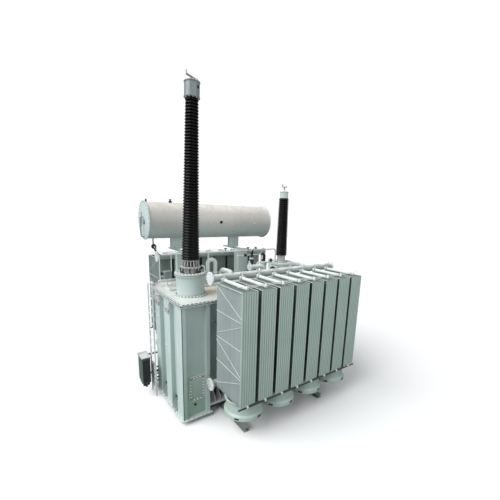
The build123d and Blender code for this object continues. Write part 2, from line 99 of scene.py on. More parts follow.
# The tank is a welded steel box with upright box stiffeners, a tower for the tall bushing at its front left
# and a bolted cover. Everything is sprayed with a light grey-green paint that has gone a little dusty on
# level faces and streaky on upright ones.
left, front = tank_low[:2]
cover_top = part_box("tank_cover")[1][2]


def at(x, y, z):
    """A place measured from the tank's left wall, from the face of its tower and from the ground."""
    return np.array([left + x, front + y, z], float)


def rings(points, looped=False):
    """Joins closed rings of points, shaped (rings, points, 3), with quads. Both ends are closed with a face,
    or the last ring is joined to the first."""
    rows, columns = points.shape[:2]
    index = np.arange(rows * columns).reshape(rows, columns)
    below = index if looped else index[:-1]
    above = np.roll(index, -1, axis=0) if looped else index[1:]
    quads = np.stack([below, np.roll(below, -1, axis=1), np.roll(above, -1, axis=1), above], -1).reshape(-1, 4)
    return points.reshape(-1, 3), [quads] if looped else [quads, index[:1, ::-1], index[-1:]]


def box(low, high):
    """A block between two corners: a four-cornered ring at its foot and one at its top."""
    (x0, y0, z0), (x1, y1, z1) = low, high
    foot = [(x0, y0), (x1, y0), (x1, y1), (x0, y1)]
    return rings(np.array([[(x, y, z) for x, y in foot] for z in (z0, z1)], float))


def square_to(axis):
    """The axis at unit length, and two unit ways at right angles to it and to each other."""
    w = np.array(axis, float) / np.linalg.norm(axis)
    u = np.cross((0, 1, 0) if abs(w[1]) < 0.9 else (0, 0, 1), w)
    u /= np.linalg.norm(u)
    return w, u, np.cross(w, u)


def turned(profile, sides, base=(0, 0, 0), axis=(0, 0, 1), looped=False):
    """Spins (radius, height) points about an axis: each ring is base + h w + r (u cos a + v sin a)."""
    w, u, v = square_to(axis)
    radius, height = np.array(profile, float).T[:, :, None, None]
    angle = 2 * np.pi * np.arange(sides)[:, None] / sides
    ring = np.cos(angle) * u + np.sin(angle) * v
    return rings(np.array(base, float) + height * w + radius * ring, looped)


def disc(radius, height, sides, base=(0, 0, 0), axis=(0, 0, 1)):
    """A plain round disc or rod with flat ends: two equal rings a height apart."""
    return turned([(radius, 0), (radius, height)], sides, base, axis)


def bar(start, end, radius, sides=12):
    """A straight round bar between two points."""
    along = np.array(end, float) - start
    return disc(radius, np.linalg.norm(along), sides, start, along)


def joined(shapes):
    """Puts several shapes into one, with the face indices of each moved past those before it."""
    counts = np.cumsum([0] + [len(points) for points, _ in shapes])
    faces = [face + start for (_, group), start in zip(shapes, counts) for face in group]
    return np.vstack([points for points, _ in shapes]), faces


def copies(shape, places):
    """Repeats a shape at each place, as its points plus that place."""
    points, faces = shape
    places = np.array(places, float).reshape(-1, 3)
    steps = np.arange(len(places))[:, None, None] * len(points)
    spread = (points[None] + places[:, None]).reshape(-1, 3)
    return spread, [(face[None] + steps).reshape(-1, face.shape[1]) for face in faces]


def made(name, shapes, material, replaces=(), smooth=40, edge=0.0):
    """Builds one piece from shapes: the arrays go straight into its mesh, and it rides on the plant."""
    points, faces = joined(shapes)
    mesh = bpy.data.meshes.new(name)
    lengths = np.concatenate([np.full(len(face), face.shape[1]) for face in faces])
    corners = np.concatenate([face.ravel() for face in faces])
    mesh.vertices.add(len(points))
    mesh.vertices.foreach_set("co", points.astype(np.float32).ravel())
    mesh.loops.add(len(corners))
    mesh.loops.foreach_set("vertex_index", corners.astype(np.int32))
    mesh.polygons.add(len(lengths))
    starts = np.concatenate([[0], np.cumsum(lengths)[:-1]])
    mesh.polygons.foreach_set("loop_start", starts.astype(np.int32))
    mesh.update(calc_edges=True)
    mesh.validate()
    mesh.polygons.foreach_set("use_smooth", np.ones(len(lengths), bool))
    mesh.set_sharp_from_angle(angle=math.radians(smooth))
    mesh.materials.append(material)
    piece = bpy.data.objects.new(name, mesh)
    bpy.context.scene.collection.objects.link(piece)
    if edge:
        rounding = piece.modifiers.new("rounded_edges", "BEVEL")
        rounding.width, rounding.segments, rounding.limit_method = edge, 1, "ANGLE"
    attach(piece, "root")
    if replaces:
        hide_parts(*replaces)


def fed(tree, socket, value):
    """Gives an input the output of another node, or a plain number or colour."""
    if isinstance(value, bpy.types.NodeSocket):
        tree.links.new(value, socket)
    else:
        socket.default_value = value


def worked(tree, operation, a, b=0.0):
    """One operation of a Math node on two numbers."""
    step = tree.nodes.new("ShaderNodeMath")
    step.operation = operation
    fed(tree, step.inputs[0], a)
    fed(tree, step.inputs[1], b)
    return step.outputs[0]


def ranged(tree, value, low, high, to_low=0.0, to_high=1.0):
    """A number's band from low to high stretched to another band, and held at its ends."""
    band = tree.nodes.new("ShaderNodeMapRange")
    tree.links.new(value, band.inputs["Value"])
    for label, number in (("From Min", low), ("From Max", high), ("To Min", to_low), ("To Max", to_high)):
        band.inputs[label].default_value = number
    return band.outputs["Result"]


def mixed(tree, share, a, b):
    """Two colours, each plain or a node's output, mixed by a share."""
    mixer = tree.nodes.new("ShaderNodeMix")
    mixer.data_type = "RGBA"
    tree.links.new(share, mixer.inputs["Factor"])
    for label, colour in (("A", a), ("B", b)):
        fed(tree, mixer.inputs[label], (*colour, 1) if isinstance(colour, tuple) else colour)
    return mixer.outputs["Result"]


def coordinate(tree, letter):
    """The X, Y or Z of a point in Object coordinates."""
    space, apart = tree.nodes.new("ShaderNodeTexCoord"), tree.nodes.new("ShaderNodeSeparateXYZ")
    tree.links.new(space.outputs["Object"], apart.inputs["Vector"])
    return apart.outputs[letter]


def weather_group():
    """Colour, roughness and height of sprayed paint: a slow mottle, rain streaks, darkening towards the foot,
    dust on level faces that on some finishes is also a painted sheen on their tops, and orange peel.
    """
    group = bpy.data.node_groups.new("weathered_paint", "ShaderNodeTree")
    socket = group.interface.new_socket
    for label, kind, value in (
        ("Paint", "NodeSocketColor", (0.5, 0.5, 0.5, 1)),
        ("Grime", "NodeSocketColor", (0.2, 0.2, 0.2, 1)),
        ("Dust And Sheen", "NodeSocketColor", (0.7, 0.7, 0.7, 1)),
        ("Streaks", "NodeSocketFloat", 0.3),
        ("Dust Amount", "NodeSocketFloat", 0.3),
        ("Foot Darkening", "NodeSocketFloat", 0.2),
        ("Gloss", "NodeSocketFloat", 0.4),
    ):
        socket(name=label, in_out="INPUT", socket_type=kind).default_value = value
    for label, kind in (("Colour", "Color"), ("Rough", "Float"), ("Peel", "Float")):
        socket(name=label, in_out="OUTPUT", socket_type="NodeSocket" + kind)
    given, result = group.nodes.new("NodeGroupInput").outputs, group.nodes.new("NodeGroupOutput").inputs
    space = group.nodes.new("ShaderNodeTexCoord")

    def noise(scale, detail, stretch=(1, 1, 1)):
        place = group.nodes.new("ShaderNodeMapping")
        place.inputs["Scale"].default_value = stretch
        group.links.new(space.outputs["Object"], place.inputs["Vector"])
        texture = group.nodes.new("ShaderNodeTexNoise")
        texture.inputs["Scale"].default_value = scale
        texture.inputs["Detail"].default_value = detail
        group.links.new(place.outputs["Vector"], texture.inputs["Vector"])
        return texture.outputs["Fac"]

    mottle = ranged(group, noise(1.3, 5), 0.35, 0.7, 0.0, 0.22)
    runs = ranged(group, noise(5.0, 4, (1, 1, 0.07)), 0.5, 0.78)
    facing, apart = group.nodes.new("ShaderNodeNewGeometry"), group.nodes.new("ShaderNodeSeparateXYZ")
    group.links.new(facing.outputs["Normal"], apart.inputs["Vector"])
    # Level faces take the dust colour; on the header pipes this dust also stands for a painted highlight.
    level = ranged(group, apart.outputs["Z"], 0.45, 0.95)
    patches = ranged(group, noise(3.0, 6), 0.35, 0.65, 0.35, 1.0)
    # Towards the ground the paint runs into the grime colour: darker and greener at the foot.
    toward_foot = ranged(group, coordinate(group, "Z"), 0.2, 2.4, 1.0, 0.0)
    colour = mixed(group, worked(group, "MULTIPLY", toward_foot, given["Foot Darkening"]), given["Paint"], given["Grime"])
    colour = mixed(group, mottle, colour, given["Grime"])
    colour = mixed(group, worked(group, "MULTIPLY", runs, given["Streaks"]), colour, given["Grime"])
    dust_and_sheen_share = worked(group, "MULTIPLY", worked(group, "MULTIPLY", level, patches), given["Dust Amount"])
    group.links.new(mixed(group, dust_and_sheen_share, colour, given["Dust And Sheen"]), result["Colour"])
    grain = ranged(group, noise(9.0, 3), 0.3, 0.7, -0.08, 0.12)
    group.links.new(worked(group, "ADD", given["Gloss"], grain), result["Rough"])
    group.links.new(noise(55.0, 2), result["Peel"])
    return group


weathered = weather_group()


def painted(name, paint, grime, dust_and_sheen=(0.72, 0.72, 0.7), streaks=0.25, dust_and_sheen_amount=0.3, rough=0.42,
            metallic=0.0, peel=0.05, foot_darkening=0.2):
    """A material on the weathered paint group, with its own colours, gloss and surface grain."""
    material = bpy.data.materials.new(name)
    material.use_nodes = True
    tree = material.node_tree
    shader = tree.nodes["Principled BSDF"]
    weather = tree.nodes.new("ShaderNodeGroup")
    weather.name, weather.node_tree = "Weather", weathered
    for label, colour in (("Paint", paint), ("Grime", grime), ("Dust And Sheen", dust_and_sheen)):
        weather.inputs[label].default_value = (*colour, 1)
    for label, number in (("Streaks", streaks), ("Dust Amount", dust_and_sheen_amount), ("Foot Darkening", foot_darkening),
                          ("Gloss", rough)):
        weather.inputs[label].default_value = number
    bump = tree.nodes.new("ShaderNodeBump")
    bump.inputs["Strength"].default_value = peel
    bump.inputs["Distance"].default_value = 0.01
    shader.inputs["Metallic"].default_value = metallic
    tree.links.new(weather.outputs["Colour"], shader.inputs["Base Color"])
    tree.links.new(weather.outputs["Rough"], shader.inputs["Roughness"])
    tree.links.new(weather.outputs["Peel"], bump.inputs["Height"])
    tree.links.new(bump.outputs["Normal"], shader.inputs["Normal"])
    return material


def finished(material, *names):
    """Gives a carried-over node its finish."""
    for name in names:
        slots = nodes[name].data.materials
        slots.clear()
        slots.append(material)


tank_paint = painted("tank_paint", (0.56, 0.66, 0.64), (0.36, 0.45, 0.42), streaks=0.22, dust_and_sheen_amount=0.55)
finished(tank_paint, "tank_stiffeners", "tank_tray", "lifting_lugs")

# The walls between the stiffeners have a darker copy of the stiffeners' paint, painted shade for the recesses,
# and they grow darker and greener towards the ground. The wall set back beside the tower is painted paler than
# the tower: painted light against the shade of the tower and the radiators.
tank_length, tower_width, front_step, front_wall, box_depth = 5.9, 0.87, 0.3, 0.42, 0.12
shaded_wall_coat, set_back_lit_coat = (0.50, 0.60, 0.575), (0.80, 0.90, 0.90)
wall_shade_and_light_paint = painted("wall_shade_and_light_paint", shaded_wall_coat, (0.24, 0.37, 0.27), streaks=0.14, dust_and_sheen_amount=0.55, foot_darkening=0.85)
tree = wall_shade_and_light_paint.node_tree
beyond_tower = worked(tree, "GREATER_THAN", coordinate(tree, "X"), left + tower_width)
tree.links.new(mixed(tree, beyond_tower, shaded_wall_coat, set_back_lit_coat), tree.nodes["Weather"].inputs["Paint"])
finished(wall_shade_and_light_paint, "tank_body", "hand_hole_cover")

# The cover is a flat plate in a paler paint, dusty all over, with a pinkish patch beside the tall bushing: a
# painted reflection of warm light, which also lifts the shade that the turret casts there. The patch fades in
# from its edge to its heart.
cover_coat, cover_dust, reflection_coat = (0.62, 0.67, 0.64), (0.83, 0.81, 0.78), (0.95, 0.80, 0.65)
reflection_place, reflection_edge, reflection_heart = (left + 1.55, front + 0.95, cover_top), 0.75, 0.35
cover_paint = painted("cover_paint", cover_coat, (0.45, 0.48, 0.44), cover_dust, dust_and_sheen_amount=0.8)
tree = cover_paint.node_tree
space, reach = tree.nodes.new("ShaderNodeTexCoord"), tree.nodes.new("ShaderNodeVectorMath")
reach.operation = "DISTANCE"
reach.inputs[1].default_value = reflection_place
tree.links.new(space.outputs["Object"], reach.inputs[0])
reflection_share = ranged(tree, reach.outputs["Value"], reflection_edge, reflection_heart)
for label, clean in (("Paint", cover_coat), ("Dust And Sheen", cover_dust)):
    tree.links.new(mixed(tree, reflection_share, clean, reflection_coat), tree.nodes["Weather"].inputs[label])
finished(cover_paint, "tank_cover")


# The cover is bolted down all round its edge on a dark rubber gasket. The heads of the hexagon bolts stand on
# washers in a dark band of painted shade along the rim, and their nuts hang below.
def bolt(size, axis=(0, 0, 1)):
    """A hexagon bolt head on a round washer, for a thread of the given radius."""
    head = turned([(1.7 * size, 0), (1.7 * size, 1.3 * size), (1.5 * size, 1.45 * size)], 6, axis=axis)
    washer = disc(2.1 * size, 0.3 * size, 10, axis=axis)
    return joined([washer, head])


def edge_row(corners, pitch, inset):
    """Places about a pitch apart along a closed outline of corners, each moved in by the inset."""
    middle = np.mean(corners, axis=0)
    places = []
    for start, end in zip(corners, np.roll(corners, -1, axis=0)):
        span = end - start
        inward = np.array([-span[1], span[0]]) / np.linalg.norm(span)
        inward *= np.sign(inward @ (middle - start))
        count = int(np.linalg.norm(span) / pitch)
        shares = (np.arange(count) + 0.5) / count
        places.append(start + shares[:, None] * span + inward * inset)
    return np.vstack(places)


cover_low, cover_high = map(np.array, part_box("tank_cover"))
corner_cut, cover_pitch = 0.725, 0.125
cover_outline = np.array([
    cover_low[:2],
    (cover_high[0], cover_low[1]),
    cover_high[:2],
    (cover_low[0] + corner_cut, cover_high[1]),
    (cover_low[0], cover_high[1] - corner_cut),
])
bolt_places = edge_row(cover_outline, cover_pitch, 0.04)
upper = np.column_stack([bolt_places, np.full(len(bolt_places), cover_top)])
lower = upper - (0, 0, cover_top - cover_low[2])
# Near-white metal for bolts and bright fittings, and for edges painted bright as a painted highlight.
bright_bolts_and_highlight = painted("bright_bolts_and_highlight", (0.86, 0.88, 0.87), (0.5, 0.52, 0.5), streaks=0.1, rough=0.3,
                       metallic=0.2)
# Near black, for black rubber and plastic parts and for the strips, panels and discs of painted shade.
dark_rubber_and_shade = painted("dark_rubber_and_shade", (0.016, 0.02, 0.02), (0.01, 0.012, 0.012), (0.1, 0.1, 0.1), rough=0.6)
made("cover_bolts", [copies(bolt(0.0165), upper + (0, 0, 0.002)),
                     copies(bolt(0.0135, (0, 0, -1)), lower - (0, 0, 0.002))], bright_bolts_and_highlight)
# Each edge gets the gasket along the cover's side and, on top, a wide dark band of painted shade.
seal_and_bolt_shade_strips = []
for start, end in zip(cover_outline, np.roll(cover_outline, -1, axis=0)):
    along = (end - start) / np.linalg.norm(end - start)
    out = np.array((along[1], -along[0])) * 0.0025
    for far, near, foot, head in ((1, -1, cover_low[2] + 0.028, cover_low[2] + 0.044),
                                  (-1, -34, cover_top, cover_top + 0.002)):
        section = ((far, foot), (far, head), (near, head), (near, foot))
        strip = [[(*(place + out * steps), z) for steps, z in section] for place in (start, end)]
        seal_and_bolt_shade_strips.append(rings(np.array(strip)))
seal_and_bolt_shade_grey = painted("seal_and_bolt_shade_grey", (0.05, 0.06, 0.06), (0.03, 0.035, 0.035), (0.12, 0.13, 0.13), rough=0.6)
made("cover_seal_and_bolt_shade", seal_and_bolt_shade_strips, seal_and_bolt_shade_grey)

# Low stiffening bars are welded on the cover behind and beside the tall bushing. Two lugs with a round bar
# between them stand at the rear of its left edge. All of them have the cover's paint.
made("cover_bars", [
    box(at(-0.03, 2.52, cover_top), at(0.05, 2.56, 3.86)),
    box(at(-0.03, 2.72, cover_top), at(0.05, 2.76, 3.86)),
    bar(at(0.01, 2.48, 3.82), at(0.01, 2.8, 3.82), 0.03),
    box(at(0.36, 2.98, cover_top), at(2.5, 3.08, 3.8)),
    box(at(0.28, 1.62, cover_top), at(0.34, 2.1, 3.79)),
    box(at(0.28, 1.6, cover_top), at(2.2, 1.66, 3.79)),
    box(at(2.72, 1.0, cover_top), at(2.78, 2.3, 3.78)),
    box(at(1.9, 0.75, cover_top), at(3.5, 0.81, 3.78)),
], cover_paint, edge=0.006)


# Each radiator is a stack of pressed steel panels, two thin sheets welded at their rims and between the oil
# channels, hung between an upper and a lower collector tube. The stack is dipped in a darker green-grey
# paint; the collector tubes have the brighter paint of the pipework, near white because it also stands for
# the highlights along their tops.
radiator_paint = painted("radiator_paint", (0.40, 0.49, 0.455), (0.25, 0.33, 0.30), (0.62, 0.65, 0.65),
                         streaks=0.3, dust_and_sheen_amount=0.8, rough=0.45)
pipe_paint = painted("pipe_paint", (0.72, 0.78, 0.76), (0.42, 0.48, 0.45), (0.9, 0.9, 0.88), streaks=0.15,
                     dust_and_sheen_amount=0.7, rough=0.3)
# The rear bank has a darker copy of the front bank's paint, painted shade for a bank that stands in shade.
rear_shaded_paint = painted("rear_radiator_shaded_paint", (0.27, 0.34, 0.31), (0.15, 0.2, 0.18), streaks=0.35,
                     dust_and_sheen_amount=0.35, rough=0.45)
panels_in_stack, channels, group_pitch = 26, 7, 0.6
stack_depth, panel_width = 1.259, 0.51
collector_radius = 0.05
banks = ((-1, "front"), (1, "rear"))


def shaded_channels(material, first, last, middle, crest, bank_end_light):
    """Painted shade lies in the grooves and on the rims that face the next stack, and the bank's two end faces
    are painted lighter, as painted light. The remainder of x - first over the pitch says where on a panel a
    point is, and |y| - middle how deep in the stack."""
    tree = material.node_tree
    # The grooves get a darker copy of the crest colour and the rims near black, both painted shade; the bank's
    # end faces get a lighter grey, painted light.
    groove_shade, rim = tuple(0.45 * part for part in crest), (0.012, 0.016, 0.015)
    groove_share, rim_share, flank_share, end_depth = 0.11, 0.02, 0.08, 0.03
    from_first = worked(tree, "SUBTRACT", coordinate(tree, "X"), first)
    on_panel = worked(tree, "DIVIDE", worked(tree, "MODULO", from_first, group_pitch), panel_width)
    to_groove = worked(tree, "PINGPONG", worked(tree, "MULTIPLY", on_panel, channels), 0.5)
    to_rim = worked(tree, "PINGPONG", on_panel, 0.5)
    from_bank = worked(tree, "SUBTRACT", worked(tree, "ABSOLUTE", coordinate(tree, "Y")), middle)
    inside = worked(tree, "LESS_THAN", worked(tree, "ABSOLUTE", from_bank), stack_depth / 2 - end_depth)
    colour = mixed(tree, worked(tree, "LESS_THAN", to_groove, groove_share), crest, groove_shade)
    for share, coat in (
        (worked(tree, "LESS_THAN", to_rim, rim_share), rim),
        (worked(tree, "MULTIPLY", worked(tree, "LESS_THAN", to_rim, flank_share), inside), rim),
        (worked(tree, "LESS_THAN", from_first, end_depth), bank_end_light),
        (worked(tree, "GREATER_THAN", from_first, last - first - end_depth), bank_end_light),
    ):
        colour = mixed(tree, share, colour, coat)
    tree.links.new(colour, tree.nodes["Weather"].inputs["Paint"])


def pressed_panel(width, height):
    """Channels across the width: y = seam + depth |sin(pi channels u)| on both faces, flat at head and foot."""
    seam, depth = 0.0025, 0.0105
    across = np.linspace(0, 1, channels * 4 + 1)
    up = np.array([0, 0.012, 0.034, 0.966, 0.988, 1])
    swell = np.array([0, 0, 1, 1, 0, 0])[:, None] * np.abs(np.sin(np.pi * channels * across))
    x = np.concatenate([across, across[::-1]]) * width - width / 2
    y = np.concatenate([-(seam + depth * swell), (seam + depth * swell)[:, ::-1]], axis=1)
    z = np.repeat(up[:, None] * height, len(x), axis=1)
    return rings(np.stack([np.broadcast_to(x, z.shape), y, z], -1))


def outer_face(side, word):
    """The y of a bank's outer side, which faces away from the tank."""
    low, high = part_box(f"{word}_radiators_1")
    return low[1] if side < 0 else high[1]


def bank_places(word):
    """For each pair of radiators: its node, the middles of its two stacks, and its lowest and highest z."""
    for pair in range(1, 5):
        low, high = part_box(f"{word}_radiators_{pair}")
        middles = (low[0] + panel_width / 2, high[0] - panel_width / 2)
        yield f"{word}_radiators_{pair}", middles, low[2], high[2]


def collector(start, end):
    """A tube with a dished cap at its outer end."""
    length = np.linalg.norm(np.array(end) - start)
    r = collector_radius
    profile = [(r, 0), (r, length - 0.3 * r), (0.86 * r, length - 0.1 * r), (0.5 * r, length)]
    return turned(profile, 18, start, np.array(end) - start)


panel_half, collector_start, upper_inset, lower_inset, plug_inset = 0.013, 1.3, 0.145, 0.004, 0.2
plug = turned([(0.014, 0), (0.014, 0.02), (0.009, 0.025), (0.009, 0.04)], 8)
for side, word, paint, crest, bank_end_light in (
    (-1, "front", radiator_paint, (0.44, 0.56, 0.50), (0.62, 0.70, 0.69)),
    (1, "rear", rear_shaded_paint, (0.27, 0.34, 0.31), (0.38, 0.44, 0.43)),
):
    outer = abs(outer_face(side, word))
    first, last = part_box(f"{word}_radiators_1")[0][0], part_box(f"{word}_radiators_4")[1][0]
    shaded_channels(paint, first, last, outer - stack_depth / 2, crest, bank_end_light)
    rows = np.linspace(outer - stack_depth + panel_half, outer - panel_half, panels_in_stack) * side
    for node, middles, low_z, high_z in bank_places(word):
        sheet = pressed_panel(panel_width, high_z - low_z - 4 * collector_radius)
        spots = [(x, y, low_z + 2 * collector_radius) for x in middles for y in rows]
        made(node + "_panels", [copies(sheet, spots)], paint, (node,), smooth=50)
        tubes = []
        for x in middles:
            for z, inset in ((high_z - collector_radius, upper_inset), (low_z + collector_radius, lower_inset)):
                start_y, end_y = side * (outer - collector_start), side * (outer - inset)
                tubes.append(collector((x, start_y, z), (x, end_y, z)))
            tubes.append(copies(plug, [(x, side * (outer - plug_inset), high_z - 0.003)]))
        made(node + "_collectors", tubes, pipe_paint, smooth=45)


# Thin round rods brace the end faces of a bank corner to corner, one rod runs over the upper collectors, and
# flat strips lie under them. They are galvanised and look nearly white.
rod_white = painted("rod_white", (0.82, 0.84, 0.83), (0.5, 0.52, 0.5), streaks=0.1, dust_and_sheen_amount=0.4, rough=0.35)
rod_radius, rod_inset = 0.0065, 0.2
strip_half, strip_thickness, strip_inset = 0.012, 0.006, 0.02
brace_heights = ((4.28, 3.67), (3.57, 3.56), (2.90, 3.46), (2.81, 2.82), (2.72, 2.10), (2.11, 2.02),
                 (1.36, 1.93))
for side, word in banks:
    first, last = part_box(f"{word}_radiators_1"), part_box(f"{word}_radiators_4")
    outer = outer_face(side, word)
    inner = outer - side * stack_depth
    lift = first[0][2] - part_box("front_radiators_1")[0][2]
    rods = [bar((x, inner, near_z + lift), (x, outer, far_z + lift), rod_radius, 6)
            for x in (first[0][0] - rod_radius, last[1][0] + rod_radius) for near_z, far_z in brace_heights]
    rod_y, rod_z = outer - side * rod_inset, first[1][2] + rod_radius
    rods.append(bar((first[0][0], rod_y, rod_z), (last[1][0], rod_y, rod_z), rod_radius * 1.4, 8))
    for _, middles, _, high_z in bank_places(word):
        strip_z = high_z - 2 * collector_radius
        for x in middles:
            for strip_x in (x - panel_width / 2 + strip_inset, x + panel_width / 2 - strip_inset):
                rods.append(box((strip_x - strip_half, min(inner, outer), strip_z),
                                (strip_x + strip_half, max(inner, outer), strip_z + strip_thickness)))
    made(f"{word}_bracing", rods, rod_white)


# A header pipe runs along the inner side of each bank, above and below, with a blind flange at each end.
# Short necks with a flanged valve lead into the collectors. Above, two round bends lead over the cover's edge
# into the cover, and below, two straight stubs lead into the wall.
def bent_tube(corners, radius, bend, sides=16):
    """A round section carried along straight runs joined by arcs; its frame turns as little as it can."""
    corners = np.array(corners, float)
    path = [corners[0]]
    for before, corner, after in zip(corners[:-2], corners[1:-1], corners[2:]):
        back, on = before - corner, after - corner
        back, on = back / np.linalg.norm(back), on / np.linalg.norm(on)
        half = np.arccos(np.clip(back @ on, -1, 1)) / 2
        reach = bend / np.tan(half)
        middle = corner + (back + on) / np.linalg.norm(back + on) * bend / np.sin(half)
        first, last = corner + back * reach - middle, corner + on * reach - middle
        sweep = np.pi - 2 * half
        for share in np.linspace(0, 1, max(3, int(sweep / 0.2))):
            arc = np.sin((1 - share) * sweep) * first + np.sin(share * sweep) * last
            path.append(middle + arc / np.sin(sweep))
    path = np.array(path + [corners[-1]])
    heading = np.gradient(path, axis=0)
    heading /= np.linalg.norm(heading, axis=1)[:, None]
    side_way = np.cross(heading[0], (0.3, 0.5, 0.81))
    loops = []
    angle = 2 * np.pi * np.arange(sides)[:, None] / sides
    for place, way in zip(path, heading):
        side_way = side_way - (side_way @ way) * way
        side_way /= np.linalg.norm(side_way)
        other = np.cross(way, side_way)
        loops.append(place + radius * (np.cos(angle) * side_way + np.sin(angle) * other))
    return rings(np.array(loops))


def bolt_circle(radius, count, base, axis, size):
    """Bolts on a circle about an axis, pointing along it."""
    _, u, v = square_to(axis)
    angle = 2 * np.pi * (np.arange(count) + 0.5) / count
    return copies(bolt(size, axis), base + radius * (np.cos(angle)[:, None] * u + np.sin(angle)[:, None] * v))


def flange(radius, thickness, base, axis, bolts, bolt_size, sides=28):
    """A disc with worn edges and a circle of bolts on it."""
    ring = turned([(radius * 0.985, 0), (radius, 0.1 * thickness), (radius, 0.9 * thickness),
                   (radius * 0.985, thickness)], sides, base, axis)
    face = base + thickness * square_to(axis)[0]
    return joined([ring, bolt_circle(radius - 2.8 * bolt_size, bolts, face, axis, bolt_size)])


# The header pipes have a darker copy of the pipework paint, painted shade, and near-white dust that puts a
# painted highlight along their tops.
header_shade_and_highlight_paint = painted("header_shade_and_highlight_paint", (0.40, 0.45, 0.44), (0.25, 0.3, 0.29), (0.93, 0.94, 0.93), streaks=0.2,
                       dust_and_sheen_amount=0.95, rough=0.35)
header_radius, header_rise, header_gap, end_flange = 0.11, 0.05, 0.2, 0.036
neck_length, valve_start, valve_length = 0.2, 0.11, 0.062
stub_places, stub_radius, stub_bend, stub_rise, stub_reach = (1.46, 4.34), 0.08, 0.1, 0.11, 0.56
for side, word in banks:
    node = f"{word}_headers"
    low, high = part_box(node)
    header_y = side * (abs(tank_low[1]) + header_gap)
    start_x, end_x = low[0] + end_flange, high[0] - end_flange
    shapes, bright, dark = [], [], []
    stack = list(bank_places(word))
    upper_z, lower_z = stack[0][3] - collector_radius, stack[0][2] + collector_radius
    out = np.array((0, side, 0))
    for tube_z in (upper_z, lower_z):
        axis_z = tube_z + header_rise
        shapes.append(bar((start_x, header_y, axis_z), (end_x, header_y, axis_z), header_radius, 32))
        for x, way, rim in ((start_x, -1, 0.195), (end_x, 1, 0.155)):
            bright.append(flange(rim, 0.018, (x, header_y, axis_z), (way, 0, 0), 12, 0.013))
            bright.append(disc(rim, 0.014, 28, (x - way * 0.02, header_y, axis_z), (way, 0, 0)))
        for x in [x for _, middles, _, _ in stack for x in middles]:
            neck_y, face = header_y + side * neck_length, header_y + side * valve_start
            shapes.append(bar((x, header_y, tube_z), (x, neck_y, tube_z), collector_radius, 18))
            bright.append(flange(0.088, 0.02, (x, face, tube_z), out, 6, 0.007, 20))
            bright.append(flange(0.088, 0.02, (x, face + side * valve_length, tube_z), -out, 6, 0.007, 20))
            # A dark disc fills the gap between each valve's two flanges: painted shade in the gap.
            dark.append(disc(0.07, 0.022, 20, (x, face + side * 0.02, tube_z), out))
            if tube_z > cover_top:
                stem_y = face + side * 0.025
                bright.append(bar((x, stem_y, tube_z + 0.06), (x, stem_y, tube_z + 0.15), 0.028, 10))
                bright.append(box((x - 0.11, stem_y - 0.03, tube_z + 0.13),
                                  (x + 0.11, stem_y + 0.03, tube_z + 0.175)))
        for x in left + np.array(stub_places):
            if tube_z > cover_top:
                inner_y, bend_z = header_y - side * stub_reach, axis_z + stub_rise
                route = [(x, header_y, axis_z), (x, header_y, bend_z), (x, inner_y, bend_z),
                         (x, inner_y, cover_top)]
                shapes.append(bent_tube(route, stub_radius, stub_bend, 20))
                bright.append(flange(0.15, 0.03, (x, inner_y, cover_top), (0, 0, 1), 8, 0.01))
                bright.append(flange(0.14, 0.03, (x, inner_y, cover_top + 0.3), (0, 0, 1), 8, 0.01))
            else:
                wall_y = tank_low[1] + front_wall if side < 0 else tank_high[1] - box_depth
                shapes.append(bar((x, header_y, axis_z), (x, wall_y, axis_z), stub_radius, 20))
                bright.append(flange(0.15, 0.03, (x, wall_y, axis_z), (0, side, 0), 8, 0.01))
    made(f"{word}_header_pipes", shapes, header_shade_and_highlight_paint, (node,))
    made(f"{word}_header_flanges", bright, bright_bolts_and_highlight, smooth=35)
    made(f"{word}_header_valve_gap_shade", dark, dark_rubber_and_shade, smooth=35)


# A flat steel bar ties the outer ends of the lower collectors together. A bright turned cap sits on the bar
# at each of them.
dark_steel = painted("dark_steel", (0.045, 0.055, 0.05), (0.02, 0.025, 0.02), (0.2, 0.2, 0.19), rough=0.5)
finished(dark_steel, "bottom_bars")
bars_low, bars_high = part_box("bottom_bars")
caps = [turned([(0.034, 0), (0.034, 0.012), (0.02, 0.02)], 12,
               (x, bars_low[1] if side < 0 else bars_high[1], low_z + collector_radius), (0, side, 0))
        for side, word in banks for _, middles, low_z, _ in bank_places(word) for x in middles]
made("collector_caps", caps, bright_bolts_and_highlight)


# Four fans hang under each bank in spun steel ducts: a straight duct, a bell mouth with a rolled lip, five
# grips in the lip that are dark with painted shade, a wire guard over the mouth, and cast blades on a motor
# held by flat arms.
fan_paint = painted("fan_paint", (0.38, 0.48, 0.435), (0.2, 0.28, 0.23), (0.8, 0.82, 0.8), streaks=0.3,
                    dust_and_sheen_amount=0.7, rough=0.4, foot_darkening=0.1)
blade_paint = painted("blade_paint", (0.12, 0.15, 0.14), (0.05, 0.06, 0.06), rough=0.5)
grip_shadow = painted("grip_shadow", (0.012, 0.015, 0.014), (0.01, 0.01, 0.01), rough=0.8)
fans, fan_pitch, blades, guard_spokes = 4, 1.2, 7, 8
mouth, throat, duct_height, wall = 0.578, 0.52, 0.49, 0.008
outline = [(mouth, 0), (mouth + 0.006, 0.008), (mouth + 0.006, 0.026), (mouth, 0.034), (mouth, 0.09),
           (mouth - 0.012, 0.11), (throat + 0.01, 0.15), (throat, 0.165), (throat, duct_height - 0.02),
           (throat + 0.045, duct_height - 0.02), (throat + 0.045, duct_height), (throat - wall, duct_height),
           (throat - wall, 0.165), (mouth - 0.012 - wall, 0.1), (mouth - wall, 0.034), (mouth - wall, 0)]
duct_points = turned(outline[::-1], 48, looped=True)
blade_rows = []
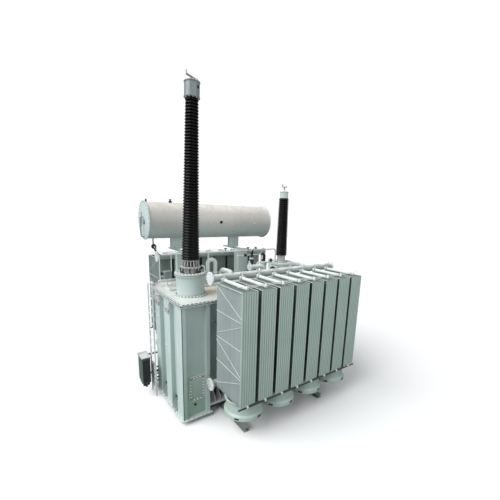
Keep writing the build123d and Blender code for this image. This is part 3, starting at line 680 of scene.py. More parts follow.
for share in np.linspace(0, 1, 6):
    reach, chord = 0.1 + 0.38 * share, 0.11 + 0.07 * share
    pitch = math.radians(38 - 16 * share)
    around = np.array([(-0.5, -0.003), (0, -0.012), (0.5, -0.003), (0.5, 0.003), (0, 0.0), (-0.5, 0.003)])
    run, rise = around[:, 0] * chord, around[:, 1]
    blade_rows.append(np.stack([np.full(6, reach), run * np.cos(pitch) - rise * np.sin(pitch),
                                run * np.sin(pitch) + rise * np.cos(pitch)], -1))
blade = rings(np.array(blade_rows)[::-1])
guard = []
for radius in (0.12, 0.21, 0.3, 0.39, 0.48, 0.56):
    angle = np.linspace(0, 2 * np.pi, 33)[:-1, None]
    away = np.hstack([np.cos(angle), np.sin(angle), np.zeros_like(angle)])[:, None]
    around = np.linspace(0, 2 * np.pi, 5)[:-1, None]
    wire = radius * away + (0, 0, 0.012) + 0.004 * (np.cos(around) * away + np.sin(around) * (0, 0, 1))
    guard.append(rings(wire[::-1], looped=True))
for turn in 2 * np.pi * np.arange(guard_spokes) / guard_spokes:
    way = np.array((math.cos(turn), math.sin(turn), 0))
    guard.append(bar(way * 0.1 + (0, 0, 0.02), way * 0.57 + (0, 0, 0.02), 0.005, 5))
arm = throat - wall
rotor = [turned([(0.06, 0.22), (0.1, 0.25), (0.11, 0.3), (0.11, 0.4), (0.08, 0.42)], 24),
         box((-arm, -0.02, 0.408), (arm, 0.02, 0.42)), box((-0.02, -arm, 0.408), (0.02, arm, 0.42))]
for turn in 2 * np.pi * np.arange(blades) / blades:
    spin = np.array([[math.cos(turn), math.sin(turn), 0], [-math.sin(turn), math.cos(turn), 0], [0, 0, 1]])
    rotor.append((blade[0] @ spin + (0, 0, 0.32), blade[1]))
grips = []
grip_section = ((mouth + 0.001, 0.036), (mouth + 0.003, 0.036), (mouth + 0.003, 0.088), (mouth + 0.001, 0.088))
for middle in (-2.5, -1.3, 0.0, 1.3, 2.5):
    strip = [[(radius * math.cos(angle), radius * math.sin(angle), z) for radius, z in grip_section]
             for angle in middle + np.linspace(-0.11, 0.11, 6)]
    grips.append(rings(np.array(strip)))
for side, word in banks:
    low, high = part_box(f"{word}_fan_housings")
    xs = low[0] + (high[1] - low[1]) / 2 + fan_pitch * np.arange(fans)
    spots = [(x, (low[1] + high[1]) / 2, low[2]) for x in xs]
    made(f"{word}_fan_ducts", [copies(duct_points, spots)], fan_paint, (f"{word}_fan_housings",))
    made(f"{word}_fan_guards", [copies(joined(guard), spots)], rod_white)
    made(f"{word}_fan_blades", [copies(joined(rotor), spots)], blade_paint,
         (f"{word}_fan_rotors",))
    made(f"{word}_fan_grips", [copies(joined(grips), spots)], grip_shadow)


# A condenser bushing carries the line into the tank: a steel turret, a bare metal neck with a ribbed clamp
# cone, a hollow porcelain with dark brown glazed sheds, and a metal head under its terminal. The tall one
# leans a little away from the tank.
glaze = painted("brown_glaze", (0.004, 0.003, 0.003), (0.003, 0.002, 0.002), (0.1, 0.095, 0.1), streaks=0.1,
                dust_and_sheen_amount=0.35, rough=0.3, peel=0.02, foot_darkening=0.0)
glaze.node_tree.nodes["Principled BSDF"].inputs["Specular IOR Level"].default_value = 0.16
bare_metal = painted("cast_metal", (0.52, 0.5, 0.5), (0.28, 0.26, 0.26), (0.6, 0.58, 0.56), streaks=0.3,
                     rough=0.38, metallic=0.55)
shadow = painted("slot_shadow", (0.015, 0.017, 0.017), (0.01, 0.01, 0.01), rough=0.8)


def sheds(core_low, core_high, tip_low, tip_high, length, count, base, axis):
    """A tapering porcelain turned from one profile. Core and tip radius run evenly from foot to head; each
    shed goes out from the core along its underside to a thin rim, then slopes back to the core."""
    profile = [(core_low, 0)]
    pitch = length / count
    for k in range(count):
        share = (k + 0.5) / count
        core, tip = core_low + (core_high - core_low) * share, tip_low + (tip_high - tip_low) * share
        reach = tip - core
        for out, up in ((0, 0.08), (0.3, 0.12), (0.96, 0.16), (1, 0.25), (1, 0.42), (0.6, 0.62), (0.06, 0.86)):
            profile.append((core + out * reach, (k + up) * pitch))
    profile.append((core_high, length))
    return turned(profile, 36, base, axis)


turret_low, turret_high = map(np.array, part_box("tall_turret"))
tall_foot = np.array((*(turret_low + turret_high)[:2] / 2, turret_high[2]))
turret_base = np.array((*tall_foot[:2], cover_top))
upwards = np.array((0, 0, 1.0))
lean = math.radians(1.5 / math.sqrt(2))
tall_axis = np.array((math.sin(lean), -math.sin(lean) * math.cos(lean), math.cos(lean) ** 2))
turret_radius, disc_radius = 0.425, 0.49
clamp_rise, porcelain_rise, tall_length, ribs_count = 0.18, 0.39, 4.42, 16
head_rise = porcelain_rise + tall_length


def on_axis(height):
    """A point on the tall bushing's leaning axis, measured from the top of its turret."""
    return tall_foot + height * tall_axis


def band_ring(inner, outer, height, base, axis=(0, 0, 1)):
    """A thin flat ring about an axis."""
    return turned([(inner, 0), (inner, height), (outer, height), (outer, 0)][::-1], 56, base, axis, looped=True)


made("tall_turret_casing", [
    disc(turret_radius + 0.095, 0.022, 64, turret_base),
    turned([(turret_radius, 0.0), (turret_radius, 0.58), (turret_radius + 0.01, 0.6),
            (turret_radius + 0.01, 0.615), (disc_radius - 0.004, 0.617), (disc_radius, 0.622),
            (disc_radius, 0.648), (disc_radius - 0.008, 0.651), (disc_radius - 0.008, 0.659),
            (disc_radius, 0.662), (disc_radius, 0.69), (disc_radius - 0.005, 0.695)], 64, turret_base),
], tank_paint, ("tall_turret",), smooth=30)
# Flat dark bands of painted shade lie under the bolt circles; the thin dark discs are the seams between
# flanges.
seams_and_bolt_shade = [
    band_ring(disc_radius - 0.085, disc_radius - 0.012, 0.0015, tall_foot),
    band_ring(0.24, 0.31, 0.003, tall_foot),
    band_ring(turret_radius + 0.004, turret_radius + 0.092, 0.0015, turret_base + (0, 0, 0.022)),
    disc(turret_radius + 0.012, 0.012, 56, turret_base + (0, 0, 0.603)),
    disc(disc_radius + 0.001, 0.012, 56, turret_base + (0, 0, 0.649)),
]
turret_bolts = [
    bolt_circle(disc_radius - 0.05, 26, tall_foot, upwards, 0.018),
    bolt_circle(turret_radius + 0.055, 30, turret_base + (0, 0, 0.022), upwards, 0.018),
    bolt_circle(disc_radius - 0.035, 32, turret_base + (0, 0, 0.616), -upwards, 0.01),
    bolt_circle(0.272, 16, on_axis(clamp_rise), tall_axis, 0.011),
    bolt_circle(0.272, 16, on_axis(0.15), -tall_axis, 0.011),
]
ribs = []
for turn in 2 * np.pi * np.arange(ribs_count) / ribs_count:
    way, across = (np.array((math.cos(angle), math.sin(angle), 0)) for angle in (turn, turn + np.pi / 2))
    ribs.append(rings(np.array([
        [on_axis(clamp_rise + up) + way * radius + across * breadth for radius, breadth in
         ((0.19, -0.016), (reach, -0.016), (reach, 0.016), (0.19, 0.016))]
        for up, reach in ((0.0, 0.262), (0.03, 0.262), (0.19, 0.228), (0.21, 0.224))
    ])))
made("tall_bushing_clamp", [
    turned([(0.235, 0), (0.235, 0.02), (0.2, 0.024), (0.2, 0.12), (0.21, 0.15)], 48, tall_foot, tall_axis),
    turned([(0.29, 0), (0.305, 0.003), (0.305, 0.027), (0.3, 0.03)], 48, on_axis(0.15), tall_axis),
    turned([(0.252, 0), (0.252, 0.022), (0.246, 0.026)], 48, on_axis(0.366), tall_axis),
    *ribs,
], bare_metal, ("tall_bushing_base",), smooth=35)
made("tall_clamp_shadow", [disc(0.2, 0.19, 40, on_axis(clamp_rise), tall_axis)], shadow)
made("tall_porcelain", [sheds(0.236, 0.146, 0.268, 0.18, tall_length, 55, on_axis(porcelain_rise), tall_axis)],
     glaze, ("tall_insulator",), smooth=60)
cap_paint = painted("cap_paint", (0.27, 0.31, 0.31), (0.12, 0.15, 0.15), (0.75, 0.76, 0.74), streaks=0.6,
                    rough=0.4, metallic=0.2)
made("tall_head_casing", [
    turned([(0.15, 0), (0.218, 0.002), (0.223, 0.01), (0.223, 0.026), (0.21, 0.032), (0.209, 0.36),
            (0.216, 0.37), (0.223, 0.376), (0.223, 0.398), (0.216, 0.404), (0.19, 0.41), (0.17, 0.43)], 48,
           on_axis(head_rise), tall_axis),
    turned([(0.05, 0), (0.046, 0.02)], 20, on_axis(head_rise + 0.43), tall_axis),
], cap_paint, ("tall_head",), smooth=35)
port_way = np.array((0.47, -0.88, 0.0))
made("tall_head_port", [turned([(0.042, 0), (0.042, 0.014), (0.03, 0.02)], 16,
                               on_axis(head_rise + 0.25) + port_way * 0.2, port_way)], shadow)
turret_bolts.append(bolt_circle(0.2, 12, on_axis(head_rise + 0.404), tall_axis, 0.009))
turret_bolts.append(bolt_circle(0.19, 12, on_axis(head_rise + 0.002), -tall_axis, 0.01))

# The tall bushing's terminal is a stud with a flat plate that dips to the right and an upright prong at each
# end of the plate. It is cast in the same bare metal as the clamp.
stem_foot = on_axis(head_rise + 0.43)
tilt = math.radians(16)
rail, crosswise = np.array((math.cos(tilt), 0, -math.sin(tilt))), np.array((0, 1, 0))
above_rail = np.cross(crosswise, -rail)
plate_middle = stem_foot + tall_axis * 0.085
plate = [[plate_middle + rail * run + crosswise * breadth + above_rail * up for breadth, up in
          ((-0.045, -0.009), (0.045, -0.009), (0.045, 0.009), (-0.045, 0.009))] for run in (-0.17, 0.17)]
terminal = [turned([(0.05, 0), (0.034, 0.02), (0.024, 0.03), (0.022, 0.075)], 14, stem_foot, tall_axis),
            rings(np.array(plate)[::-1])]
for run, tall in ((-0.165, 0.1), (0.165, 0.045)):
    prong = [[plate_middle + rail * (run + thick) + crosswise * breadth + upwards * up for thick, breadth in
              ((-0.006, -0.03), (0.006, -0.03), (0.006, 0.03), (-0.006, 0.03))] for up in (0, tall)]
    terminal.append(rings(np.array(prong)))
made("tall_terminal_plate", terminal, bare_metal, ("tall_terminal",), smooth=35)

# The shorter bushing stands on a low turret with a wide flange and has its own cast neck and head. Its
# terminal is a stud with a small plate and two prongs.
short_low, short_high = map(np.array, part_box("short_turret"))
short_foot = np.array((*(short_low + short_high)[:2] / 2, short_high[2]))
short_neck, short_length = 0.26, 2.11
short_top = short_foot + (0, 0, short_neck + short_length)
# The short turret wears the paler pipework paint, not the tank's, as painted light on its bright flange.
made("short_turret_casing", [
    turned([(0.36, 0), (0.36, 0.62), (0.37, 0.655), (0.455, 0.66), (0.465, 0.666), (0.465, 0.688),
            (0.459, 0.69), (0.459, 0.695), (0.465, 0.697), (0.465, 0.716), (0.458, 0.72)], 56,
           (*short_foot[:2], cover_top)),
], pipe_paint, ("short_turret",), smooth=30)
made("short_bushing_neck", [
    turned([(0.2, 0), (0.2, 0.022), (0.155, 0.03), (0.15, 0.2), (0.18, 0.225), (0.18, 0.255),
            (0.15, short_neck)], 40, short_foot),
], bare_metal, ("short_bushing_base",), smooth=35)
made("short_porcelain", [sheds(0.18, 0.15, 0.216, 0.19, short_length, 27, short_foot + (0, 0, short_neck),
                               upwards)], glaze, ("short_insulator",), smooth=60)
made("short_head_casing", [
    turned([(0.12, 0), (0.163, 0.002), (0.166, 0.008), (0.166, 0.026), (0.155, 0.032), (0.153, 0.2),
            (0.163, 0.21), (0.166, 0.216), (0.166, 0.236), (0.15, 0.24), (0.11, 0.25)], 40, short_top),
], tank_paint, ("short_head",), smooth=35)
made("short_terminal_plate", [
    turned([(0.045, 0), (0.028, 0.03), (0.024, 0.14), (0.03, 0.15)], 14, short_top + (0, 0, 0.25)),
    box(short_top + (-0.095, -0.045, 0.392), short_top + (0.095, 0.045, 0.41)),
    box(short_top + (-0.093, -0.03, 0.41), short_top + (-0.083, 0.03, 0.49)),
    box(short_top + (0.083, -0.03, 0.41), short_top + (0.093, 0.03, 0.46)),
], bare_metal, ("short_terminal",), smooth=35)
turret_bolts += [
    bolt_circle(0.42, 22, short_foot, upwards, 0.017),
    bolt_circle(0.178, 12, short_foot + (0, 0, 0.024), upwards, 0.009),
    bolt_circle(0.143, 10, short_top + (0, 0, 0.238), upwards, 0.008),
]

# Both bushings are bolted through their flanges, over thin dark seams and flat dark bands of painted shade
# under the bolt circles. Eight dark clamping blocks stand round the tall one's neck, and a bright sampling pipe
# runs down beside it.
made("bushing_bolts", turret_bolts, bright_bolts_and_highlight)
seams_and_bolt_shade += [band_ring(0.385, 0.45, 0.0015, short_foot), band_ring(0.2, 0.25, 0.003, short_foot)]
for turn in (np.arange(8) + 0.4) * math.pi / 4:
    foot = tall_foot + 0.29 * np.array((math.cos(turn), math.sin(turn), 0))
    seams_and_bolt_shade.append(bar(foot, foot + (0, 0, 0.14), 0.022, 8))
made("seams_and_bolt_shade", seams_and_bolt_shade, dark_rubber_and_shade)
pipe_head = on_axis(0.2)
made("tall_sampling_pipe", [
    bent_tube([pipe_head + (0.27, -0.16, 0), pipe_head + (0.37, -0.2, 0), tall_foot + (0.37, -0.2, 0.0)], 0.017,
              0.05, 8),
], bright_bolts_and_highlight)

# The neutral comes out through a small black glazed bushing with six sheds. It stands on its own painted
# pipe, which is flanged at the foot and at the head.
neutral_low, neutral_high = map(np.array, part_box("neutral_bushing"))
neutral_foot = np.array((*(neutral_low + neutral_high)[:2] / 2, neutral_low[2]))
made("neutral_porcelain", [sheds(0.042, 0.042, 0.078, 0.078, 0.3, 6, neutral_foot, upwards),
                           turned([(0.03, 0), (0.03, 0.03), (0.012, 0.04)], 12, neutral_foot + (0, 0, 0.3))],
     glaze, ("neutral_bushing",), smooth=60)
made("neutral_pipe", [turned([(0.16, 0), (0.16, 0.025), (0.11, 0.026), (0.11, 0.6), (0.15, 0.602),
                              (0.15, 0.635), (0.09, 0.64)], 32, (*neutral_foot[:2], cover_top))], tank_paint,
     ("neutral_turret",), smooth=30)


# The conservator is a rolled steel drum with flat end plates that stand out as rims. It has a level gauge on
# its left end, a filling neck and a lifting lug on top, and rests on two posts.
drum_paint = painted("drum_paint", (0.57, 0.60, 0.56), (0.44, 0.48, 0.45), (0.88, 0.84, 0.77), streaks=0.15,
                     dust_and_sheen_amount=0.9, rough=0.3)
shell_low, shell_high = map(np.array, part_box("conservator_shell"))
drum_middle = (shell_low + shell_high) / 2
# The drum is painted warm beige on its upper half and a darker, greener grey below: a painted reflection on top
# and painted shade underneath.
tree = drum_paint.node_tree
reflected_upper_half = ranged(tree, coordinate(tree, "Z"), drum_middle[2] - 0.45, drum_middle[2] + 0.2)
drum_reflection_and_shade = mixed(tree, reflected_upper_half, (0.47, 0.56, 0.53), (0.66, 0.62, 0.57))
tree.links.new(drum_reflection_and_shade, tree.nodes["Weather"].inputs["Paint"])
drum_left = np.array((shell_low[0], drum_middle[1], drum_middle[2]))
drum_length, drum_radius, end_radius = shell_high[0] - shell_low[0], 0.625, 0.665
drum_top, drum_foot = drum_middle[2] + drum_radius, drum_middle[2] - drum_radius
drum = [(drum_radius, 0)]
for x in drum_length * np.array((0.333, 0.667)):
    drum += [(drum_radius, x - 0.008), (drum_radius + 0.003, x - 0.003), (drum_radius + 0.003, x + 0.003),
             (drum_radius, x + 0.008)]
drum.append((drum_radius, drum_length))
made("conservator_drum", [turned(drum, 96, drum_left, (1, 0, 0))], drum_paint,
     ("conservator_shell",), smooth=30)
for node, way in (("conservator_end_left", -1), ("conservator_end_right", 1)):
    low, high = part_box(node)
    plate = turned([(end_radius, 0), (end_radius, 0.02), (end_radius - 0.006, 0.024), (0.58, 0.024),
                    (0.56, 0.03)], 80, (high[0] if way < 0 else low[0], *drum_middle[1:]), (way, 0, 0))
    made(node + "_plate", [plate], tank_paint, (node,), smooth=30)
end_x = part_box("conservator_end_left")[0][0]


def end_face(y, z):
    """A place on the drum's left end plate, measured from its middle."""
    return np.array((end_x, drum_middle[1] + y, drum_middle[2] + z))


leftwards, gauge_place = (-1, 0, 0), end_face(-0.08, -0.03)
made("level_gauge", [
    turned([(0.085, 0), (0.085, 0.05), (0.072, 0.058), (0.07, 0.052)], 28, gauge_place, leftwards),
    box(end_face(0.22, -0.2) - (0.02, 0.02, 0), end_face(0.22, 0.28) + (0, 0.02, 0)),
    bolt_circle(0.615, 24, end_face(0, 0), leftwards, 0.009),
], cap_paint, smooth=35)
dial = disc(0.066, 0.002, 24, gauge_place - (0.052, 0, 0), leftwards)
made("level_gauge_dial", [dial], bright_bolts_and_highlight)
needle = box(gauge_place - (0.058, 0.005, 0.03), gauge_place + (-0.055, 0.005, 0.045))
made("level_gauge_needle", [needle], shadow)
lug_x = drum_left[0] + 0.08
made("conservator_fittings", [
    turned([(0.05, -0.02), (0.05, 0.03), (0.075, 0.03), (0.075, 0.05), (0.03, 0.06), (0.03, 0.1), (0.045, 0.1),
            (0.045, 0.12)], 20, (drum_left[0] + 0.93, drum_middle[1], drum_top)),
    box((lug_x - 0.01, drum_middle[1] - 0.07, drum_top - 0.01),
        (lug_x + 0.01, drum_middle[1] + 0.07, drum_top + 0.09)),
    turned([(0.055, -0.02), (0.055, 0.02), (0.035, 0.024)], 18, drum_left + (2.66, -0.625, -0.02), (0, -1, 0)),
], shadow, smooth=35)
made("conservator_plug", [
    turned([(0.04, -0.02), (0.04, 0.02), (0.028, 0.03)], 16, drum_left + (4.18, -0.624, -0.05), (0, -1, 0)),
], bright_bolts_and_highlight, smooth=35)
finished(tank_paint, "conservator_support_left", "conservator_support_right")


# Pipework on the cover: the oil pipe from the drum past a relay and four black-handled valves, the upside-down
# U of the breather pipe, and the thin pipe down the drum's end.
pipe_y, pipe_z = at(0, 2.38, 4.8)[1:]
pipe_start, pipe_end, relay_x = left + 0.3, left + 5.2, left + 1.05
made("gas_line", [
    bent_tube([(pipe_start, drum_middle[1], drum_foot), (pipe_start, drum_middle[1], 5.02),
               (pipe_start, pipe_y, pipe_z), (pipe_end, pipe_y, pipe_z), (pipe_end, pipe_y, cover_top)], 0.03,
              0.12, 14),
    flange(0.075, 0.02, (pipe_end, pipe_y, cover_top), (0, 0, 1), 6, 0.008, 18),
    *[flange(0.062, 0.016, (left + x, pipe_y, pipe_z), (1, 0, 0), 4, 0.007, 16)
      for x in (1.03, 1.31, 2.6, 3.9)],
    *[box((left + x - 0.02, pipe_y - 0.02, cover_top), (left + x + 0.02, pipe_y + 0.02, pipe_z - 0.02))
      for x in (2.02, 3.3, 4.45)],
], pipe_paint, ("gas_pipe",))
made("gas_relay", [
    turned([(0.05, 0), (0.085, 0.02), (0.085, 0.24), (0.05, 0.26)], 20, (relay_x, pipe_y, pipe_z), (1, 0, 0)),
    box((relay_x + 0.06, pipe_y - 0.07, pipe_z - 0.05), (relay_x + 0.2, pipe_y + 0.07, pipe_z + 0.12)),
], cap_paint, smooth=35, edge=0.006)
vent_low, vent_high = map(np.array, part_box("vent_pipe"))
vent_radius, vent_rise, vent_y = 0.08, 0.72, (vent_low[1] + vent_high[1]) / 2
vent_left, vent_right = vent_low[0] + vent_radius, vent_high[0] - vent_radius
made("breather_pipe", [
    bent_tube([(vent_left, vent_y, cover_top), (vent_left, vent_y, cover_top + vent_rise),
               (vent_right, vent_y, cover_top + vent_rise), (vent_right, vent_y, cover_top)],
              vent_radius, 0.16, 20),
    *[flange(0.13, 0.022, (x, vent_y, z), (0, 0, 1), 8, 0.009, 24) for x in (vent_left, vent_right)
      for z in (cover_top, cover_top + 0.2)],
], pipe_paint, ("vent_pipe",))
level_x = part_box("level_pipe")[0][0] + 0.016
level_top = drum_middle[2] + 0.11
level_foot = level_top - end_radius
level_route = ((end_x, level_top), (level_x, level_top), (level_x, level_foot), (end_x, level_foot))
made("level_line", [bent_tube([(x, drum_middle[1], z) for x, z in level_route], 0.019, 0.048, 10)], cap_paint,
     ("level_pipe",))


# Round lugs with pressed rims stand on the box stiffeners of both side walls under the cover, each between two
# small cheeks. Bolted gussets stand in the bays at the foot of the walls, before a dark panel of painted shade.
box_pitch, box_width, wall_foot = 0.93, 0.45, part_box("tank_tray")[1][2]
lug_z = (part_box("lifting_lugs")[0][2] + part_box("lifting_lugs")[1][2]) / 2
lug_rims, lug_dark = [], []
for wall_x, way, lug_ys in ((0, -1, (1.04, 1.97)), (tank_length, 1, (1.34, 2.27))):
    for y in lug_ys:
        x, y, z = at(wall_x, y, lug_z)
        facing = (way, 0, 0)
        lug_rims.append(turned([(0.1, 0), (0.11, 0.004), (0.11, 0.012), (0.1, 0.016)], 20,
                               (x + way * 0.05, y, z), facing))
        lug_rims.append(disc(0.12, 0.008, 20, (x, y, z), facing))
        lug_dark.append(bolt_circle(0.08, 6, (x + way * 0.066, y, z), facing, 0.008))
        lug_dark.append(disc(0.04, 0.006, 12, (x + way * 0.062, y, z), facing))
        for beside in (-0.085, 0.085):
            near, far = beside - 0.006, beside + 0.006
            corners = [(0, near), (0, far), (way * 0.05, far), (way * 0.05, near)]
            cheek = [[(x + out * share, y + across, z + up) for out, across in corners[::way]]
                     for up, share in ((0.0, 1), (0.1, 1), (0.24, 0.25))]
            lug_rims.append(rings(np.array(cheek)))
made("lug_rims", lug_rims, rod_white, smooth=35)
gussets = []
for wall_x, way, start_y in ((0, -1, 0.0), (tank_length, 1, front_step)):
    inner = wall_x - way * (box_depth - 0.002)
    low, high = sorted((inner, inner + way * 0.004))
    for bay in (start_y + box_width, start_y + box_pitch + box_width):
        for share in (0.25, 0.5, 0.75):
            y = bay + share * (box_pitch - box_width)
            corners = [(0, -0.008), (0, 0.008), (1, 0.008), (1, -0.008)]
            plate = [[at(inner + way * out * reach, y + across, wall_foot + up)
                      for out, across in corners[::way]]
                     for up, reach in ((0, box_depth + 0.05), (0.03, box_depth + 0.05), (0.3, 0.02))]
            gussets.append(rings(np.array(plate)))
        # A dark panel of painted shade lines the back of each bay.
        lug_dark.append(box(at(low, bay + 0.01, wall_foot + 0.02),
                            at(high, bay + box_pitch - box_width - 0.01, wall_foot + 0.36)))
made("foot_gussets", gussets, tank_paint)
made("wall_shadows", lug_dark, dark_rubber_and_shade)

# Bolts hold the tank's foot to its tray, with round plugs on the tray's left edge. A small sampling valve with
# a cross handle stands in a bay of the left wall, on its own bent pipe.
foot_places = [
    *[at(-0.03, y, wall_foot) for y in np.arange(0.1, 2.6, 0.19)],
    *[at(tank_length + 0.03, y, wall_foot) for y in np.arange(0.4, 3.2, 0.19)],
    *[at(x, -0.03, wall_foot) for x in np.arange(0.1, 0.9, 0.15)],
]
valve_y = 1.32
made("foot_bolts", [
    copies(bolt(0.014), foot_places),
    copies(turned([(0.045, 0), (0.045, 0.01), (0.03, 0.014)], 14, axis=leftwards),
           [at(-0.06, y, wall_foot - 0.015) for y in (0.62, 1.08, 1.55, 1.92, 2.3)]),
    bent_tube([at(box_depth, valve_y, 1.9), at(0.03, valve_y, 1.9), at(0.03, valve_y, 2.08)], 0.016, 0.03, 8),
    turned([(0.035, 0), (0.035, 0.05), (0.02, 0.06)], 12, at(0.03, valve_y, 2.02)),
    bar(at(-0.02, valve_y - 0.07, 2.09), at(-0.02, valve_y + 0.07, 2.09), 0.011, 8),
], bright_bolts_and_highlight, smooth=35)

# The hand hole low on the tower has a bolted plate. Its rolled edge is painted bright, a painted highlight,
# and its bolts sit on dark discs of painted shade. Beside the tower a jacking shelf stands out of the set-back
# wall on upright ribs, painted near white as painted light against the shade there, with dark plates of
# painted shade behind and under it. A bright round valve sits high on that wall.
hole_low, hole_high = map(np.array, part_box("hand_hole_cover"))
face_y = hole_low[1]
(x0, _, z0), (x1, _, z1) = hole_low + 0.012, hole_high - 0.012
hole_outline = np.array([(x0, z0), (x1, z0), (x1, z1), (x0, z1)])
edge_rods = [bar((start[0], face_y, start[1]), (end[0], face_y, end[1]), 0.009, 6)
             for start, end in zip(hole_outline, np.roll(hole_outline, -1, axis=0))]
edge_spots = [(x, face_y, z) for x, z in edge_row(hole_outline, 0.095, 0.045)]
made("hand_hole_edge_highlight", edge_rods, bright_bolts_and_highlight, smooth=50)
made("hand_hole_bolts", [copies(bolt(0.0155, (0, -1, 0)), edge_spots)], bright_bolts_and_highlight, smooth=35)
made("hand_hole_bolt_shade_and_plug", [
    copies(disc(0.043, 0.0015, 8, axis=(0, -1, 0)), edge_spots),
    turned([(0.038, 0), (0.038, 0.03), (0.03, 0.034)], 14, at(0.42, 0.12, 0.49), (0, -1, 0)),
], dark_rubber_and_shade)
shelf_left, shelf_right = 0.88, 1.74
shelf = [box(at(shelf_left, 0.1, 0.29), at(shelf_right, front_wall, 0.33)),
         box(at(shelf_left, 0.1, 0.17), at(shelf_right, 0.125, 0.3))]
for x in np.linspace(0.93, 1.68, 5):
    corners = [(0.011, front_wall), (0.011, 0.13), (-0.011, 0.13), (-0.011, front_wall)]
    rib = [[at(x + across, front_wall - (front_wall - deep) * reach, up) for across, deep in corners]
           for up, reach in ((0.33, 1), (0.42, 1), (0.78, 0.15))]
    shelf.append(rings(np.array(rib)))
made("jacking_shelf", shelf, rod_white, edge=0.004)
made("jacking_shelf_shade", [box(at(0.9, 0.412, 0.32), at(1.72, 0.417, 0.82)),
                            box(at(0.92, 0.094, 0.18), at(1.7, 0.1, 0.25))], dark_rubber_and_shade)
made("wall_valve", [turned([(0.05, 0), (0.05, 0.1), (0.085, 0.1), (0.085, 0.12), (0.04, 0.125), (0.04, 0.15)],
                           18, at(1.19, front_wall, 2.86), (0, -1, 0))], bright_bolts_and_highlight, smooth=35)


# A dark strip of painted shade lies along the top of the tank wall, under the cover's edge. It runs along the
# front and the tower, along both sides and along the rear.
shadow_foot, wall_top, shadow_depth = 3.628, 3.65, 0.003
made("cover_edge_shadow", [box(at(*low, shadow_foot), at(*high, wall_top)) for low, high in (
    ((-shadow_depth, 0), (0.0, 2.6)),
    ((0.0, -shadow_depth), (tower_width, 0.0)),
    ((tower_width, front_step - shadow_depth), (tank_length, front_step)),
    ((tank_length, front_step), (tank_length + shadow_depth, 3.3)),
    ((0.7, 3.3), (tank_length, 3.3 + shadow_depth)),
)], dark_rubber_and_shade)

# The left corner box of the tower is faced with a sheet in the tower's darker coat, painted shade on its front.
# A dark strip of painted shade runs down between the sheet and the corner.
facing_sheet = box(at(0.022, -0.003, wall_foot), at(box_depth, 0.0, wall_top))
made("corner_facing", [facing_sheet], wall_shade_and_light_paint)
made("corner_shadow_line", [box(at(0.0, -0.004, wall_foot), at(0.02, 0.0, wall_top))], dark_rubber_and_shade)


# A ladder of two flat stringers with round rungs stands at the rear of the left wall. It hooks over the
# cover and has a slotted guard plate bolted over its foot.
finished(rod_white, "ladder")
(ladder_x, ladder_front, _), (_, ladder_rear, ladder_top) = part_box("ladder")
guard_foot, guard_head = 0.35, 1.12
made("ladder_guard", [
    box((ladder_x - 0.006, ladder_front + 0.01, guard_foot), (ladder_x, ladder_rear - 0.01, guard_head)),
    *[box((ladder_x - 0.02, y - 0.012, ladder_top - 0.45), (left + 0.05, y + 0.012, ladder_top - 0.43))
      for y in (ladder_front + 0.03, ladder_rear - 0.03)],
], rod_white)
slots = [box((ladder_x - 0.008, y, z), (ladder_x - 0.005, y + 0.06, z + 0.05))
         for y in ladder_front + 0.06 + 0.12 * np.arange(3)
         for z in np.arange(guard_foot + 0.08, guard_head - 0.08, 0.16)]
gland = turned([(0.02, 0), (0.02, 0.02), (0.03, 0.025), (0.03, 0.045), (0.014, 0.05)], 12, axis=(-1, 0, 0))
glands = copies(gland, [at(0.0, 2.28, z) for z in np.arange(0.36, 1.0, 0.13)])
made("ladder_slots", [*slots, glands], dark_rubber_and_shade)

# Beside it stands the control cabinet on arms from the wall: folded sheet under a flat roof that stands out
# all round, a door with an upright handle, and black cable glands under its floor.
cabinet_low, cabinet_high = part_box("control_cabinet")
cabinet_paint = painted("cabinet_paint", (0.06, 0.11, 0.085), (0.03, 0.05, 0.04), (0.88, 0.86, 0.85),
                        streaks=0.3, dust_and_sheen_amount=0.95, rough=0.4)
finished(cabinet_paint, "control_cabinet")
floor_z, door_foot, door_top = 0.525, 0.56, cabinet_high[2] - 0.09
front_y = cabinet_low[1] + 0.03
body_left, body_right = cabinet_low[0] + 0.03, cabinet_low[0] + 0.29
gland = turned([(0.035, 0), (0.035, 0.05), (0.055, 0.05), (0.055, 0.11), (0.03, 0.12)], 12, axis=(0, 0, -1))
gland_places = [(x, y, floor_z) for x in (body_left + 0.07, body_right - 0.07)
                for y in np.linspace(front_y + 0.09, cabinet_high[1] - 0.12, 3)]
made("cabinet_door", [
    box((body_left + 0.015, front_y - 0.012, door_foot), (body_right - 0.015, front_y, door_top)),
    box((body_left + 0.03, front_y - 0.03, 1.0), (body_left + 0.045, front_y - 0.012, 1.14)),
    copies(gland, gland_places),
], dark_rubber_and_shade)

# The whole plant stands on two skid rails of rolled steel, in a darker grey paint that has gone dusty. They
# run out past the tank at the front.
rail_paint = painted("rail_paint", (0.16, 0.19, 0.18), (0.05, 0.06, 0.055), (0.5, 0.53, 0.52), streaks=0.3,
                     dust_and_sheen_amount=0.6)
finished(rail_paint, "skid_rails")


# Small fittings stand on the cover: a relay box on a post with its conduits, a pressure relief pipe, round
# valves beside the shorter turret, and black handles on the valves of the oil pipe.
def upright(x, y, foot, head, radius, sides=12):
    """An upright round bar at a place on the cover."""
    return bar(at(x, y, foot), at(x, y, head), radius, sides)


